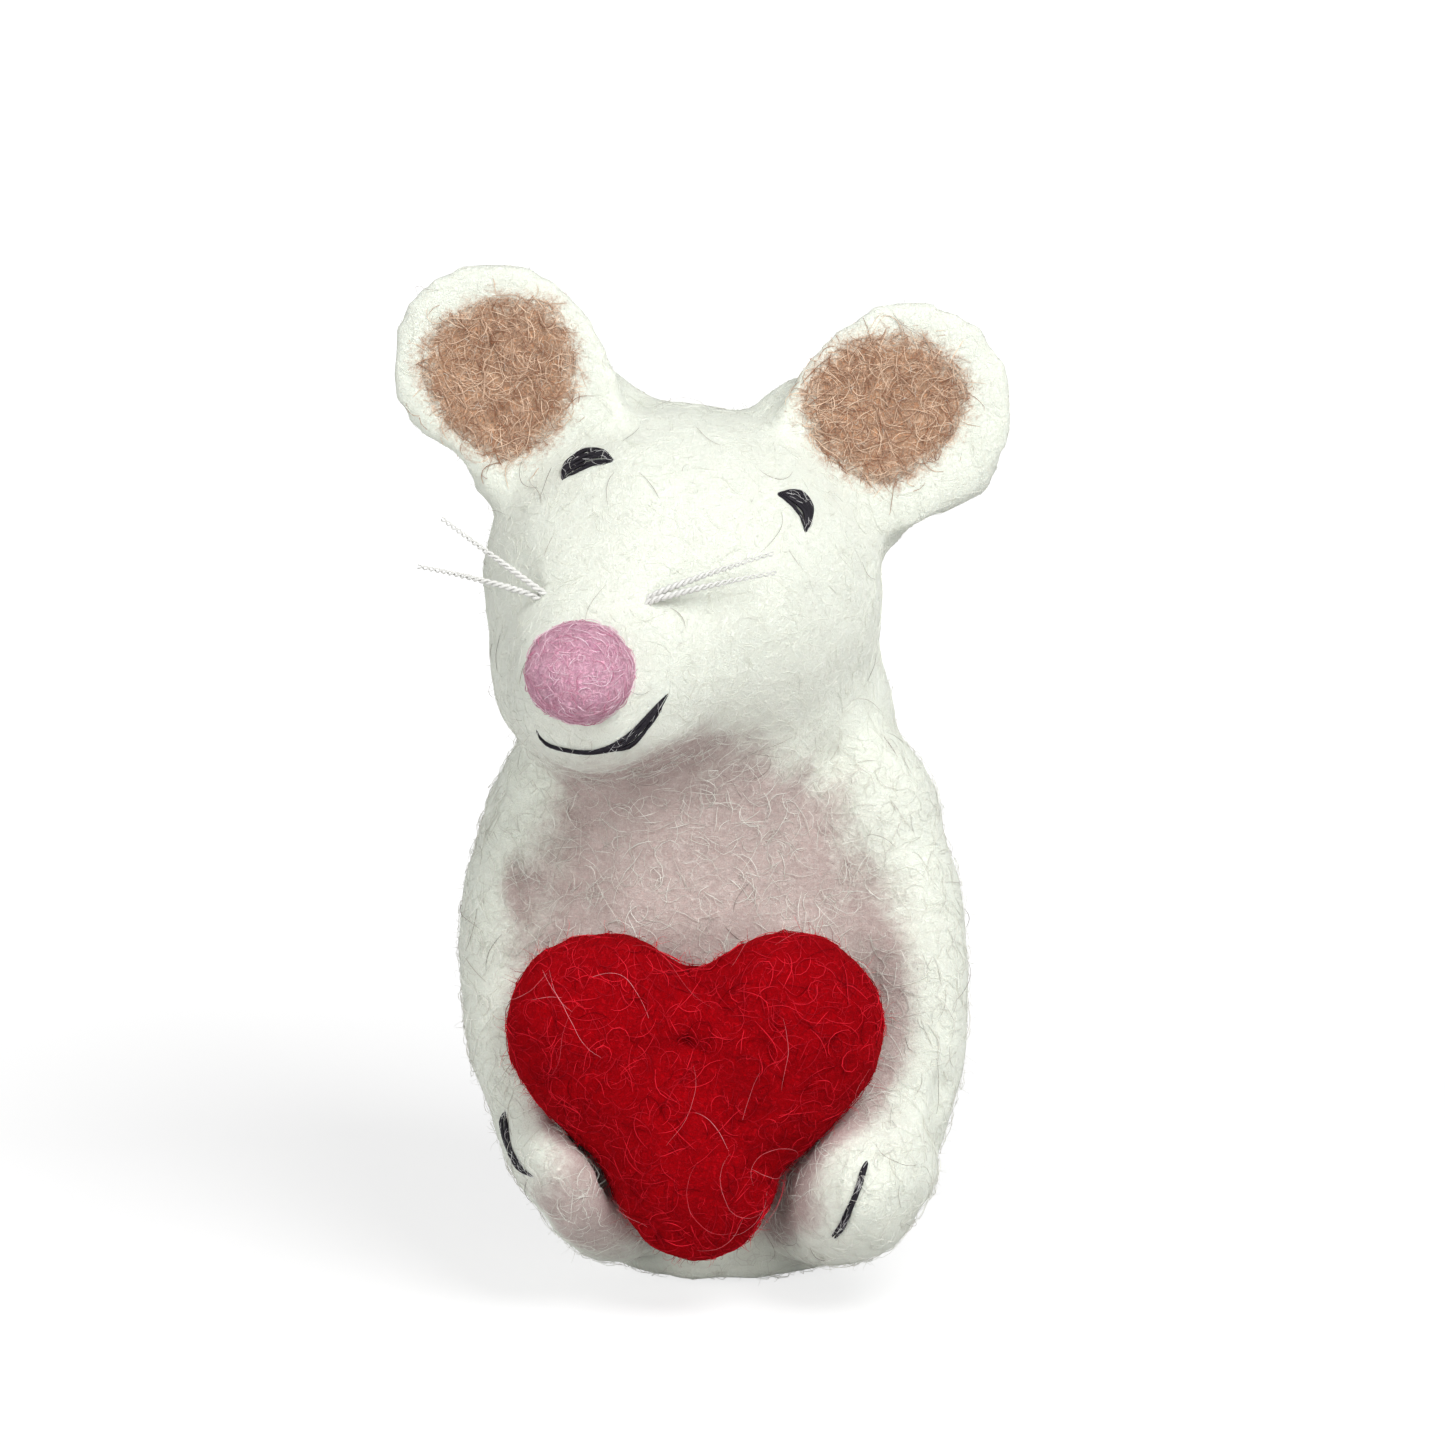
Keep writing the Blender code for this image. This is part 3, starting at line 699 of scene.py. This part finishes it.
def fibres(name, ground, allowed, count, length, radius, lift, curl, seed, steps=8, sink=0.00005, flow=None):
    """Loose wool fibres that wander over a surface and dip into it at both ends."""
    generator = np.random.default_rng(seed)
    mesh, tree = ground
    starts = spots(mesh, allowed, count, generator)
    lengths = length * generator.uniform(0.5, 1.5, count)
    bends = curl * generator.normal(0.0, 1.0, count)
    lifts = lift * generator.uniform(0.2, 1.6, count) ** 2
    paths = np.empty((count, steps, 3))
    for index in range(count):
        place = Vector(starts[index])
        hit, normal, face, gap = tree.find_nearest(place)
        heading = Vector(generator.normal(0.0, 1.0, 3)) if flow is None else Vector(flow(place, generator))
        heading = (heading - normal * heading.dot(normal)).normalized()
        stride = lengths[index] / (steps - 1)
        bend = bends[index]
        for step in range(steps):
            share = step / (steps - 1)
            height = lifts[index] * math.sin(math.pi * share) - sink * (1.0 - math.sin(math.pi * share))
            paths[index, step] = hit + normal * height
            place = hit + heading * stride
            hit, normal, face, gap = tree.find_nearest(place)
            bend += curl * 0.5 * generator.normal()
            heading = heading - normal * heading.dot(normal)
            heading = (Matrix.Rotation(bend * stride, 3, normal) @ heading).normalized()
    paths[..., 2] = np.maximum(paths[..., 2], FIBRE_FLOOR)
    share = np.linspace(0.0, 1.0, steps)
    taper = 0.35 + 0.65 * np.sin(math.pi * share)
    radii = radius * generator.uniform(0.7, 1.3, count)[:, None] * taper[None, :]
    made = tube_mesh(name, paths, radii, 3)
    set_attribute(made, "shade", np.repeat(generator.random(count), steps * 3))
    return new_piece(name, made)


def fuzz(name, ground, allowed, count, length, radius, seed, steps=6, lean=0.8, curl=0.9):
    """Short fibres that stand off a surface and curl over."""
    generator = np.random.default_rng(seed)
    mesh, tree = ground
    starts = spots(mesh, allowed, count, generator)
    paths = np.empty((count, steps, 3))
    for index in range(count):
        hit, normal, face, gap = tree.find_nearest(Vector(starts[index]))
        side = Vector(generator.normal(0.0, 1.0, 3))
        side = (side - normal * side.dot(normal)).normalized()
        heading = (normal + side * lean * (0.4 + generator.random())).normalized()
        axis = Vector(generator.normal(0.0, 1.0, 3)).normalized()
        size = length * generator.uniform(0.4, 1.3)
        turn = curl * generator.normal()
        place = hit - normal * 0.0001
        for step in range(steps):
            paths[index, step] = place
            place = place + heading * size / (steps - 1)
            heading = Matrix.Rotation(turn, 3, axis) @ heading
            axis = (axis + 0.5 * Vector(generator.normal(0.0, 1.0, 3))).normalized()
    paths[..., 2] = np.maximum(paths[..., 2], FIBRE_FLOOR)
    share = np.linspace(0.0, 1.0, steps)
    radii = radius * generator.uniform(0.7, 1.2, count)[:, None] * (1.0 - 0.7 * share)[None, :]
    made = tube_mesh(name, paths, radii, 3)
    set_attribute(made, "shade", np.repeat(generator.random(count), steps * 3))
    return new_piece(name, made)


def mount(piece, material, slot, *nodes):
    piece.data.materials.clear()
    piece.data.materials.append(material)
    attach(piece, "root")
    if nodes:
        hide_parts(*nodes)
    return piece


# Sub-parts

def in_pocket(points):
    """Whether points are on the inside of the finger pocket."""
    across = (points[:, 0] - POCKET_CENTRE[0]) / POCKET_REACH[0]
    deep = (points[:, 1] - POCKET_CENTRE[1]) / POCKET_REACH[1]
    return (across ** 2 + deep ** 2 < 1.0) & (points[:, 2] < POCKET_TOP)


def lining_share(points, outline):
    """How far points are from an outline's centre, 1 on the outline, in the photo."""
    pixels = photo_pixels(points)
    corners = np.array(outline, float)
    centre = corners.mean(axis=0)
    spokes = corners - centre
    angle = np.arctan2(spokes[:, 1], spokes[:, 0])
    order = np.argsort(angle)
    reach = np.linalg.norm(spokes, axis=1)[order]
    angle = angle[order]
    angle = np.concatenate((angle[-1:] - 2 * math.pi, angle, angle[:1] + 2 * math.pi))
    reach = np.concatenate((reach[-1:], reach, reach[:1]))
    away = pixels - centre
    bearing = np.arctan2(away[:, 1], away[:, 0])
    return np.linalg.norm(away, axis=1) / np.interp(bearing, angle, reach)


def add_ear_fills(piece):
    """Flat balls of felt that widen the ears and their roots to the photo's outline."""
    bm = bmesh.new()
    bm.from_mesh(piece.data)
    for pixel, radius, half_thickness in EAR_FILLS:
        aim = sight(*pixel)
        spot = EYE_POINT + aim * ((EAR_DEPTH - EYE_POINT.y) / aim.y)
        place = Matrix.Translation(spot) @ Matrix.Diagonal((radius, half_thickness, radius, 1.0))
        bmesh.ops.create_icosphere(bm, subdivisions=3, radius=1.0, matrix=place)
    bm.to_mesh(piece.data)
    bm.free()


def openness(points, normals, tree, seed):
    """The share of the view from each point that is free of other felt close by."""
    generator = np.random.default_rng(seed)
    free = np.zeros(len(points))
    aims = generator.normal(0.0, 1.0, (RECESS_RAYS, 3))
    aims /= np.linalg.norm(aims, axis=1, keepdims=True)
    for aim in aims:
        heading = normals + 0.95 * aim
        heading /= np.linalg.norm(heading, axis=1, keepdims=True)
        starts = points + normals * RECESS_LIFT
        for index in range(len(points)):
            hit = tree.ray_cast(starts[index], heading[index], RECESS_REACH)[0]
            free[index] += hit is None
    return free / RECESS_RAYS


def painted_shade_at_spots(points, normals):
    """How much painted shade the spots put on points of the front."""
    pixels = photo_pixels(points)
    total = np.zeros(len(points))
    for pixel, reach, strength in PAINTED_SHADE_SPOTS:
        gap = np.linalg.norm(pixels - np.array(pixel), axis=1)
        total += strength * np.exp(-0.5 * (gap / reach) ** 2)
    front = np.clip(-normals @ np.array(FORWARD) * 2.5, 0.0, 1.0)
    return total * front


def white_skin():
    piece = grown_copy("wool_body", SKIN_NODES, SKIN_GROWTH)
    add_ear_fills(piece)
    remesh(piece, SKIN_VOXEL)
    keep_largest(piece)
    smooth(piece, SKIN_SMOOTHING)
    subdivide(piece)
    lump(piece, LUMPS, 1)
    dent(piece, CREASES)
    pull(piece, SKIN_PULLS)
    points = places(piece.data)
    low = points[:, 2].min()
    near = points[:, 2] < HEM_EASE
    points[near, 2] = HEM_EASE - (HEM_EASE - points[near, 2]) * HEM_EASE / (HEM_EASE - low)
    set_places(piece.data, points)
    shade_smooth(piece.data)
    return piece


def front_of_ear(points, normals, outline):
    facing = normals @ np.array(FORWARD) < -0.15
    return facing & (lining_share(points, outline) < LINING_REACH) & (points[:, 2] > 0.075)


def lining(name, skin, outline):
    """A thin felt disc taken from the ear's own surface, sunk at its rim."""
    mesh = skin.data
    points = places(mesh)
    normals = normals_of(mesh)
    inside = front_of_ear(points, normals, outline)
    faces = [tuple(p.vertices) for p in mesh.polygons if all(inside[v] for v in p.vertices)]
    used = sorted({v for face in faces for v in face})
    number = {v: index for index, v in enumerate(used)}
    top = points[used]
    aim = normals[used]
    share = lining_share(top, outline)
    fall = np.clip((share - 0.86) / (LINING_REACH - 0.90), 0.0, 1.0)
    fall = fall * fall * (3.0 - 2.0 * fall)
    height = LINING_RAISE - (LINING_RAISE + LINING_SINK) * fall
    upper = top + aim * height[:, None]
    lower = top - aim * LINING_DEPTH
    shift = len(used)
    quads = [tuple(number[v] for v in face) for face in faces]
    edges = {}
    for face in quads:
        for a, b in zip(face, face[1:] + face[:1]):
            edges[(a, b)] = edges.get((a, b), 0) + 1
    rim = [(a, b) for a, b in edges if (b, a) not in edges]
    walls = [(b, a, a + shift, b + shift) for a, b in rim]
    under = [tuple(v + shift for v in reversed(face)) for face in quads]
    made = bpy.data.meshes.new(name)
    made.from_pydata([tuple(p) for p in np.concatenate((upper, lower))], [], quads + walls + under)
    shade_smooth(made)
    set_attribute(made, "tan", np.tile(1.5 - share, 2))
    return new_piece(name, made)


def smooth_path(pixels, steps):
    """Evenly spaced samples of a curve through pixels."""
    knots = np.array(pixels, float)
    knots = np.concatenate((2 * knots[:1] - knots[1:2], knots, 2 * knots[-1:] - knots[-2:-1]))
    fine = []
    for i in range(1, len(knots) - 2):
        for t in np.linspace(0.0, 1.0, 12, endpoint=False):
            a, b, c, d = knots[i - 1:i + 3]
            fine.append(0.5 * (2 * b + (c - a) * t + (2 * a - 5 * b + 4 * c - d) * t ** 2
                               + (3 * b - a - 3 * c + d) * t ** 3))
    fine.append(knots[-2])
    fine = np.array(fine)
    length = np.concatenate(([0.0], np.cumsum(np.linalg.norm(np.diff(fine, axis=0), axis=1))))
    wanted = np.linspace(0.0, length[-1], steps)
    return np.stack([np.interp(wanted, length, fine[:, axis]) for axis in (0, 1)], axis=1)


def stitches(name, tree, edges, seed):
    """A bundle of thread strands that fills the shape between two edges."""
    outer, inner, strands, radius = edges
    generator = np.random.default_rng(seed)
    outer = smooth_path(outer, STITCH_STEPS)
    inner = smooth_path(inner, STITCH_STEPS)
    share = np.linspace(0.0, 1.0, STITCH_STEPS)
    gap = np.linalg.norm(outer - inner, axis=1) * VIEW_WIDTH / PHOTO
    centres = [seen(tree, *pixel)[0] for pixel in 0.5 * (outer + inner)]
    paths = np.empty((strands, STITCH_STEPS, 3))
    for strand in range(strands):
        across = (strand + 0.5) / strands
        wobble = np.interp(share, np.linspace(0, 1, 6), generator.normal(0.0, 0.35 / strands, 6))
        mix = np.clip(across + wobble, 0.02, 0.98)[:, None]
        line = outer * (1.0 - mix) + inner * mix
        for step, (px, py) in enumerate(line):
            hit, normal = seen(tree, px, py)
            away = hit - centres[step]
            if away.length > gap[step]:
                hit, normal = tree.find_nearest(centres[step] + away * (gap[step] / away.length))[:2]
            dome = STITCH_DOME * math.sin(math.pi * across) + radius * 0.35
            ends = min(1.0, 6.0 * min(share[step], 1.0 - share[step]))
            paths[strand, step] = hit + normal * (dome * ends - radius * 0.6 * (1.0 - ends))
    taper = np.clip(0.45 + 3.0 * np.minimum(share, 1.0 - share), 0.0, 1.0)
    slim = np.clip(0.8 * gap / strands, STITCH_LEAST, radius)
    radii = generator.uniform(0.9, 1.1, strands)[:, None] * (slim * taper)[None, :]
    return new_piece(name, tube_mesh(name, paths, radii, STITCH_SIDES))


def whisker(name, tree, root, lay, seed):
    """Two-ply twisted thread that leaves the cheek and bows slightly."""
    generator = np.random.default_rng(seed)
    start, normal = seen(tree, *root)
    aim = Vector(lay).normalized()
    side = aim.cross(normal).normalized()
    up = side.cross(aim).normalized()
    share = np.linspace(0.0, 1.0, WHISKER_STEPS)
    bow = 0.0006 * np.sin(math.pi * share) + 0.0002 * generator.normal() * share
    paths = np.empty((2, WHISKER_STEPS, 3))
    for ply in range(2):
        turn = share * WHISKER_LENGTH / WHISKER_TWIST * 2 * math.pi + ply * math.pi
        for step in range(WHISKER_STEPS):
            middle = start - normal * 0.0004 + aim * (share[step] * WHISKER_LENGTH)
            middle = middle + up * (bow[step] + 0.0006 * min(1.0, 8 * share[step]))
            twist = side * math.cos(turn[step]) + up * math.sin(turn[step])
            paths[ply, step] = middle + twist * WHISKER_PLY
    fray = np.clip(1.25 - share, 0.4, 1.0)
    radii = np.tile(WHISKER_PLY * 1.05 * fray, (2, 1))
    return new_piece(name, tube_mesh(name, paths, radii, 5))


def puffed(name, nodes, growth, voxel, rounds, layers, seed):
    piece = grown_copy(name, nodes, growth)
    remesh(piece, voxel)
    keep_largest(piece)
    smooth(piece, rounds)
    subdivide(piece)
    lump(piece, layers, seed)
    shade_smooth(piece.data)
    return piece


# Build

TAN_TINT = ("tan", TAN, TAN_DARK, 0.7, 0.28, 0.72)
SKIN_TINTS = (
    # Painted shade in recesses and at the shade spots
    ("painted_recess_shade", PAINTED_SHADE, PAINTED_SHADE_DARK, 0.25, 0.12, 0.48),
    # Near the heart: partly painted red reflection, partly red fibre stain, mottled with the painted shade
    # colour
    ("red_reflection_and_stain_share", HEART_RED_REFLECTION_AND_STAIN, PAINTED_SHADE, 0.5, 0.2, 1.0),
    TAN_TINT,
)
white_wool = wool("white_wool_felt", IVORY, IVORY_SHADE, IVORY_LIGHT, 0.45, 0.6, 0.15,
                  fineness=1.7, tints=SKIN_TINTS, soft=0.2)
tan_wool = wool("tan_wool_felt", IVORY, IVORY_SHADE, TAN_LIGHT, 0.6, 1.0, 0.1,
                fineness=1.4, tints=(TAN_TINT,))
red_wool = wool("red_wool_felt", RED, RED_DARK, RED_LIGHT, 0.9, 0.9, 0.06, (0.9, 0.03, 0.05), 1.5, gloss=0.02)
pink_wool = wool("pink_wool_felt", PINK, PINK_DARK, PINK_LIGHT, 0.9, 1.0, 0.1, (1.0, 0.7, 0.85), 1.8)
head_fibre = fibre_material("fine_white_wool_fibre", *HEAD_FIBRES)
white_fibre = fibre_material("white_wool_fibre", *WHITE_FIBRES)
tan_fibre = fibre_material("tan_wool_fibre", *TAN_FIBRES)
red_fibre = fibre_material("red_wool_fibre", *RED_FIBRES, sheen=0.0, gloss=0.02)
curl_fibre = fibre_material("pale_curl_fibre", *PALE_CURLS)
pink_fibre = fibre_material("pink_wool_fibre", *PINK_FIBRES)
wisp_fibre = fibre_material("wisp_fibre", *WISPS)
hair_fibre = fibre_material("dark_hair_fibre", *DARK_HAIRS, sheen=0.0)
black_thread = thread_material("black_embroidery_thread", BLACK, GREY, 0.55)
white_thread = thread_material("white_twisted_thread", WHITE_THREAD_DARK, WHITE_THREAD, 0.6)

skin = white_skin()
heart = puffed("wool_heart", ("heart",), HEART_GROWTH, HEART_VOXEL, HEART_SMOOTHING,
               ((0.0090, 0.0003), (0.0032, 0.00022), (0.0013, 0.00007)), 2)
dent(heart, HEART_CREASES)
pull(heart, HEART_PULLS)
nose = puffed("wool_nose", ("nose",), NOSE_GROWTH, NOSE_VOXEL, NOSE_SMOOTHING,
              ((0.0030, 0.00018), (0.0011, 0.00010)), 3)

skin_tree = tree_of(skin.data)
heart_tree = tree_of(heart.data)
nose_tree = tree_of(nose.data)
skin_ground = (skin.data, skin_tree)
heart_ground = (heart.data, heart_tree)
nose_ground = (nose.data, nose_tree)

skin_points = places(skin.data)
skin_normals = normals_of(skin.data)
tan_share = np.zeros(len(skin_points))
for outline in (LEFT_LINING, RIGHT_LINING):
    near = front_of_ear(skin_points, skin_normals, outline)
    tan_share[near] = 1.5 - lining_share(skin_points[near], outline)
set_attribute(skin.data, "tan", np.clip(tan_share, 0.0, 2.0))
# Near the heart the skin takes partly painted red reflection, partly red fibre stain
heart_gap = np.array([heart_tree.find_nearest(Vector(p))[3] for p in skin_points])
set_attribute(skin.data, "red_reflection_and_stain_share", 0.75 * np.exp(-heart_gap / 0.0030))
# Painted shade: the skin darkens where other felt closes off its view, less on the head
free = openness(skin_points, skin_normals, joined_tree(skin.data, heart.data), 5)
closed = (1.0 - free) * np.where(skin_points[:, 2] > HEAD_LEVEL, HEAD_RECESS, 1.0)
# The shade spots add more painted shade to the front
closed = spread(skin.data, closed, 6) + painted_shade_at_spots(skin_points, skin_normals)
set_attribute(skin.data, "painted_recess_shade", np.clip(closed, 0.0, PAINTED_SHADE_MOST))

mount(skin, white_wool, "white_wool", *SKIN_NODES)
mount(heart, red_wool, "red_wool", "heart")
mount(nose, pink_wool, "pink_wool", "nose")

left_lining = lining("wool_left_ear_lining", skin, LEFT_LINING)
mount(left_lining, tan_wool, "tan_wool", "left_ear_lining")
right_lining = lining("wool_right_ear_lining", skin, RIGHT_LINING)
mount(right_lining, tan_wool, "tan_wool", "right_ear_lining")

for name, node_name, edges, tree, seed in (
    ("stitched_left_eye", "left_eye", LEFT_EYE, skin_tree, 11),
    ("stitched_right_eye", "right_eye", RIGHT_EYE, skin_tree, 12),
    ("stitched_mouth", "mouth", MOUTH, skin_tree, 13),
    ("stitched_left_claw", "left_claw_stitch", LEFT_CLAW, skin_tree, 14),
    ("stitched_right_claw", "right_claw_stitch", RIGHT_CLAW, skin_tree, 15),
):
    mount(stitches(name, tree, edges, seed), black_thread, "black_thread", node_name)
for index, (name, root, lay) in enumerate(WHISKERS):
    mount(whisker("twisted_" + name, skin_tree, root, lay, 20 + index), white_thread, "white_thread", name)


def on_head(points):
    return (points[:, 2] > 0.056) & ~in_lining(points)


def on_trunk(points):
    return (points[:, 2] <= 0.056) & ~in_pocket(points)


def in_lining(points):
    facing = points[:, 1] < 0.010
    inside = (lining_share(points, LEFT_LINING) < 0.85) | (lining_share(points, RIGHT_LINING) < 0.85)
    return inside & facing & (points[:, 2] > 0.075)


def outside(points):
    return ~in_pocket(points)


def everywhere(points):
    return np.ones(len(points))


def above_skin(place):
    hit, normal, face, gap = skin_tree.find_nearest(Vector(place))
    return (Vector(place) - hit).dot(normal) > -LINING_RAISE


def tan_zone(outline):
    """The upper side of a lining, out to where its felt feathers into the ear."""
    def zone(points):
        shown = np.array([above_skin(point) for point in points])
        return shown & (lining_share(points, outline) < 1.06) & (points[:, 2] > 0.072)
    return zone


head_wool = fibres("wool_fibres_head", skin_ground, on_head, count=5900, length=0.0036,
                   radius=0.000024, lift=0.00004, curl=420, seed=31, steps=6)
mount(head_wool, head_fibre, "white_wool")
trunk_wool = fibres("wool_fibres_trunk", skin_ground, on_trunk, count=5900, length=0.0038,
                    radius=0.000029, lift=0.00020, curl=560, seed=32, steps=6)
mount(trunk_wool, white_fibre, "white_wool")
dark_hairs = fibres("wool_fibres_dark", skin_ground, outside, count=130, length=0.0050,
                    radius=0.000024, lift=0.0003, curl=180, seed=33, steps=14)
mount(dark_hairs, hair_fibre, "white_wool")

STITCHED = ("left_eye", "right_eye", "mouth", "left_claw", "right_claw")
for index, name in enumerate(STITCHED):
    thread = bpy.data.objects["stitched_" + name].data
    wisps = fibres("stitched_" + name + "_wisps", (thread, tree_of(thread)), everywhere, count=34,
                   length=0.0022, radius=0.000028, lift=0.00006, curl=500, seed=50 + index)
    mount(wisps, wisp_fibre, "white_wool")

for name, piece, outline, seed in (
    ("wool_fibres_left_ear", left_lining, LEFT_LINING, 34),
    ("wool_fibres_right_ear", right_lining, RIGHT_LINING, 35),
):
    ground = (piece.data, joined_tree(skin.data, piece.data))
    ear_wool = fibres(name, ground, tan_zone(outline), count=800, length=0.0034,
                      radius=0.000036, lift=0.00012, curl=500, seed=seed)
    mount(ear_wool, tan_fibre, "tan_wool")

nose_wool = fibres("wool_fibres_nose", nose_ground, everywhere, count=700, length=0.0026,
                   radius=0.000034, lift=0.00012, curl=600, seed=36)
mount(nose_wool, pink_fibre, "pink_wool")
heart_wool = fibres("wool_fibres_heart", heart_ground, everywhere, count=1700, length=0.0040,
                    radius=0.000040, lift=0.00012, curl=450, seed=37)
mount(heart_wool, red_fibre, "red_wool")
heart_curls = fibres("wool_curls_heart", heart_ground, everywhere, count=44, length=0.0105,
                     radius=0.000024, lift=0.00030, curl=150, seed=38, steps=22)
mount(heart_curls, curl_fibre, "red_wool")
heart_fuzz = fuzz("wool_fuzz_heart", heart_ground, everywhere, count=1800, length=0.0018,
                  radius=0.000026, seed=39)
mount(heart_fuzz, red_fibre, "red_wool")
body_fuzz = fuzz("wool_fuzz_body", skin_ground, outside, count=5000, length=0.0014,
                 radius=0.000026, seed=40)
mount(body_fuzz, white_fibre, "white_wool")


# Stage, light and camera

def seen_directly(tree):
    """1 for camera, glossy and transmission rays, which see the white background."""
    path = node(tree, "ShaderNodeLightPath")
    shown = maths(tree, "MAXIMUM", path.outputs["Is Camera Ray"], path.outputs["Is Glossy Ray"])
    return maths(tree, "MAXIMUM", shown, path.outputs["Is Transmission Ray"])


def floor():
    bm = bmesh.new()
    bmesh.ops.create_grid(bm, x_segments=4, y_segments=4, size=4.0)
    mesh = bpy.data.meshes.new("floor")
    bm.to_mesh(mesh)
    bm.free()
    piece = new_piece("floor", mesh)
    material, tree = material_tree("floor_paper")
    shown = seen_directly(tree)
    plain = node(tree, "ShaderNodeBsdfDiffuse", values={0: (0.60, 0.60, 0.60, 1.0)})
    dim = node(tree, "ShaderNodeBsdfDiffuse", values={0: (0.28, 0.28, 0.28, 1.0)})
    place = node(tree, "ShaderNodeTexCoord").outputs["Object"]
    away = node(tree, "ShaderNodeVectorMath", {0: place}, operation="LENGTH").outputs["Value"]
    rise = node(tree, "ShaderNodeMapRange", {0: away}, {1: 0.04, 2: 0.30, 3: 0.76, 4: 1.0},
                interpolation_type="SMOOTHSTEP").outputs[0]
    glow = node(tree, "ShaderNodeEmission", {1: rise}, {0: (1.0, 1.0, 1.0, 1.0)})
    lit = node(tree, "ShaderNodeAddShader", {0: dim.outputs[0], 1: glow.outputs[0]})
    mixed = node(tree, "ShaderNodeMixShader", {0: shown, 1: plain.outputs[0], 2: lit.outputs[0]})
    node(tree, "ShaderNodeOutputMaterial", {"Surface": mixed.outputs[0]})
    mesh.materials.append(material)


def lamp(name, place, size, power):
    light = bpy.data.lights.new(name, "AREA")
    light.shape = "DISK"
    light.size = size
    light.energy = power
    lamp_object = bpy.data.objects.new(name, light)
    lamp_object.location = place
    aim = VIEW_TARGET - Vector(place)
    lamp_object.rotation_euler = aim.to_track_quat("-Z", "Y").to_euler()
    bpy.context.scene.collection.objects.link(lamp_object)


def world():
    made = bpy.data.worlds.new("studio")
    made.use_nodes = True
    tree = made.node_tree
    tree.nodes.clear()
    shown = seen_directly(tree)
    soft = node(tree, "ShaderNodeBackground", values={0: (1.0, 1.0, 1.0, 1.0), 1: 0.20})
    white = node(tree, "ShaderNodeBackground", values={0: (1.0, 1.0, 1.0, 1.0), 1: 1.0})
    mixed = node(tree, "ShaderNodeMixShader", {0: shown, 1: soft.outputs[0], 2: white.outputs[0]})
    node(tree, "ShaderNodeOutputWorld", {"Surface": mixed.outputs[0]})
    bpy.context.scene.world = made


def camera():
    lens = bpy.data.cameras.new("photo_view")
    lens.sensor_width = SENSOR
    lens.lens = SENSOR * VIEW_DISTANCE / VIEW_WIDTH
    lens.clip_start = 0.01
    lens.clip_end = 20.0
    view = bpy.data.objects.new("photo_view", lens)
    view.location = EYE_POINT
    view.rotation_euler = FORWARD.to_track_quat("-Z", "Y").to_euler()
    bpy.context.scene.collection.objects.link(view)
    bpy.context.scene.camera = view


floor()
lamp("key", (0.34, -0.44, 0.74), 0.46, 7.1)
lamp("fill", (-0.60, -0.50, 0.25), 0.60, 3.3)
lamp("low_fill", (0.62, -0.70, 0.14), 0.50, 2.3)
world()
camera()
bpy.context.scene.view_settings.view_transform = "Standard"
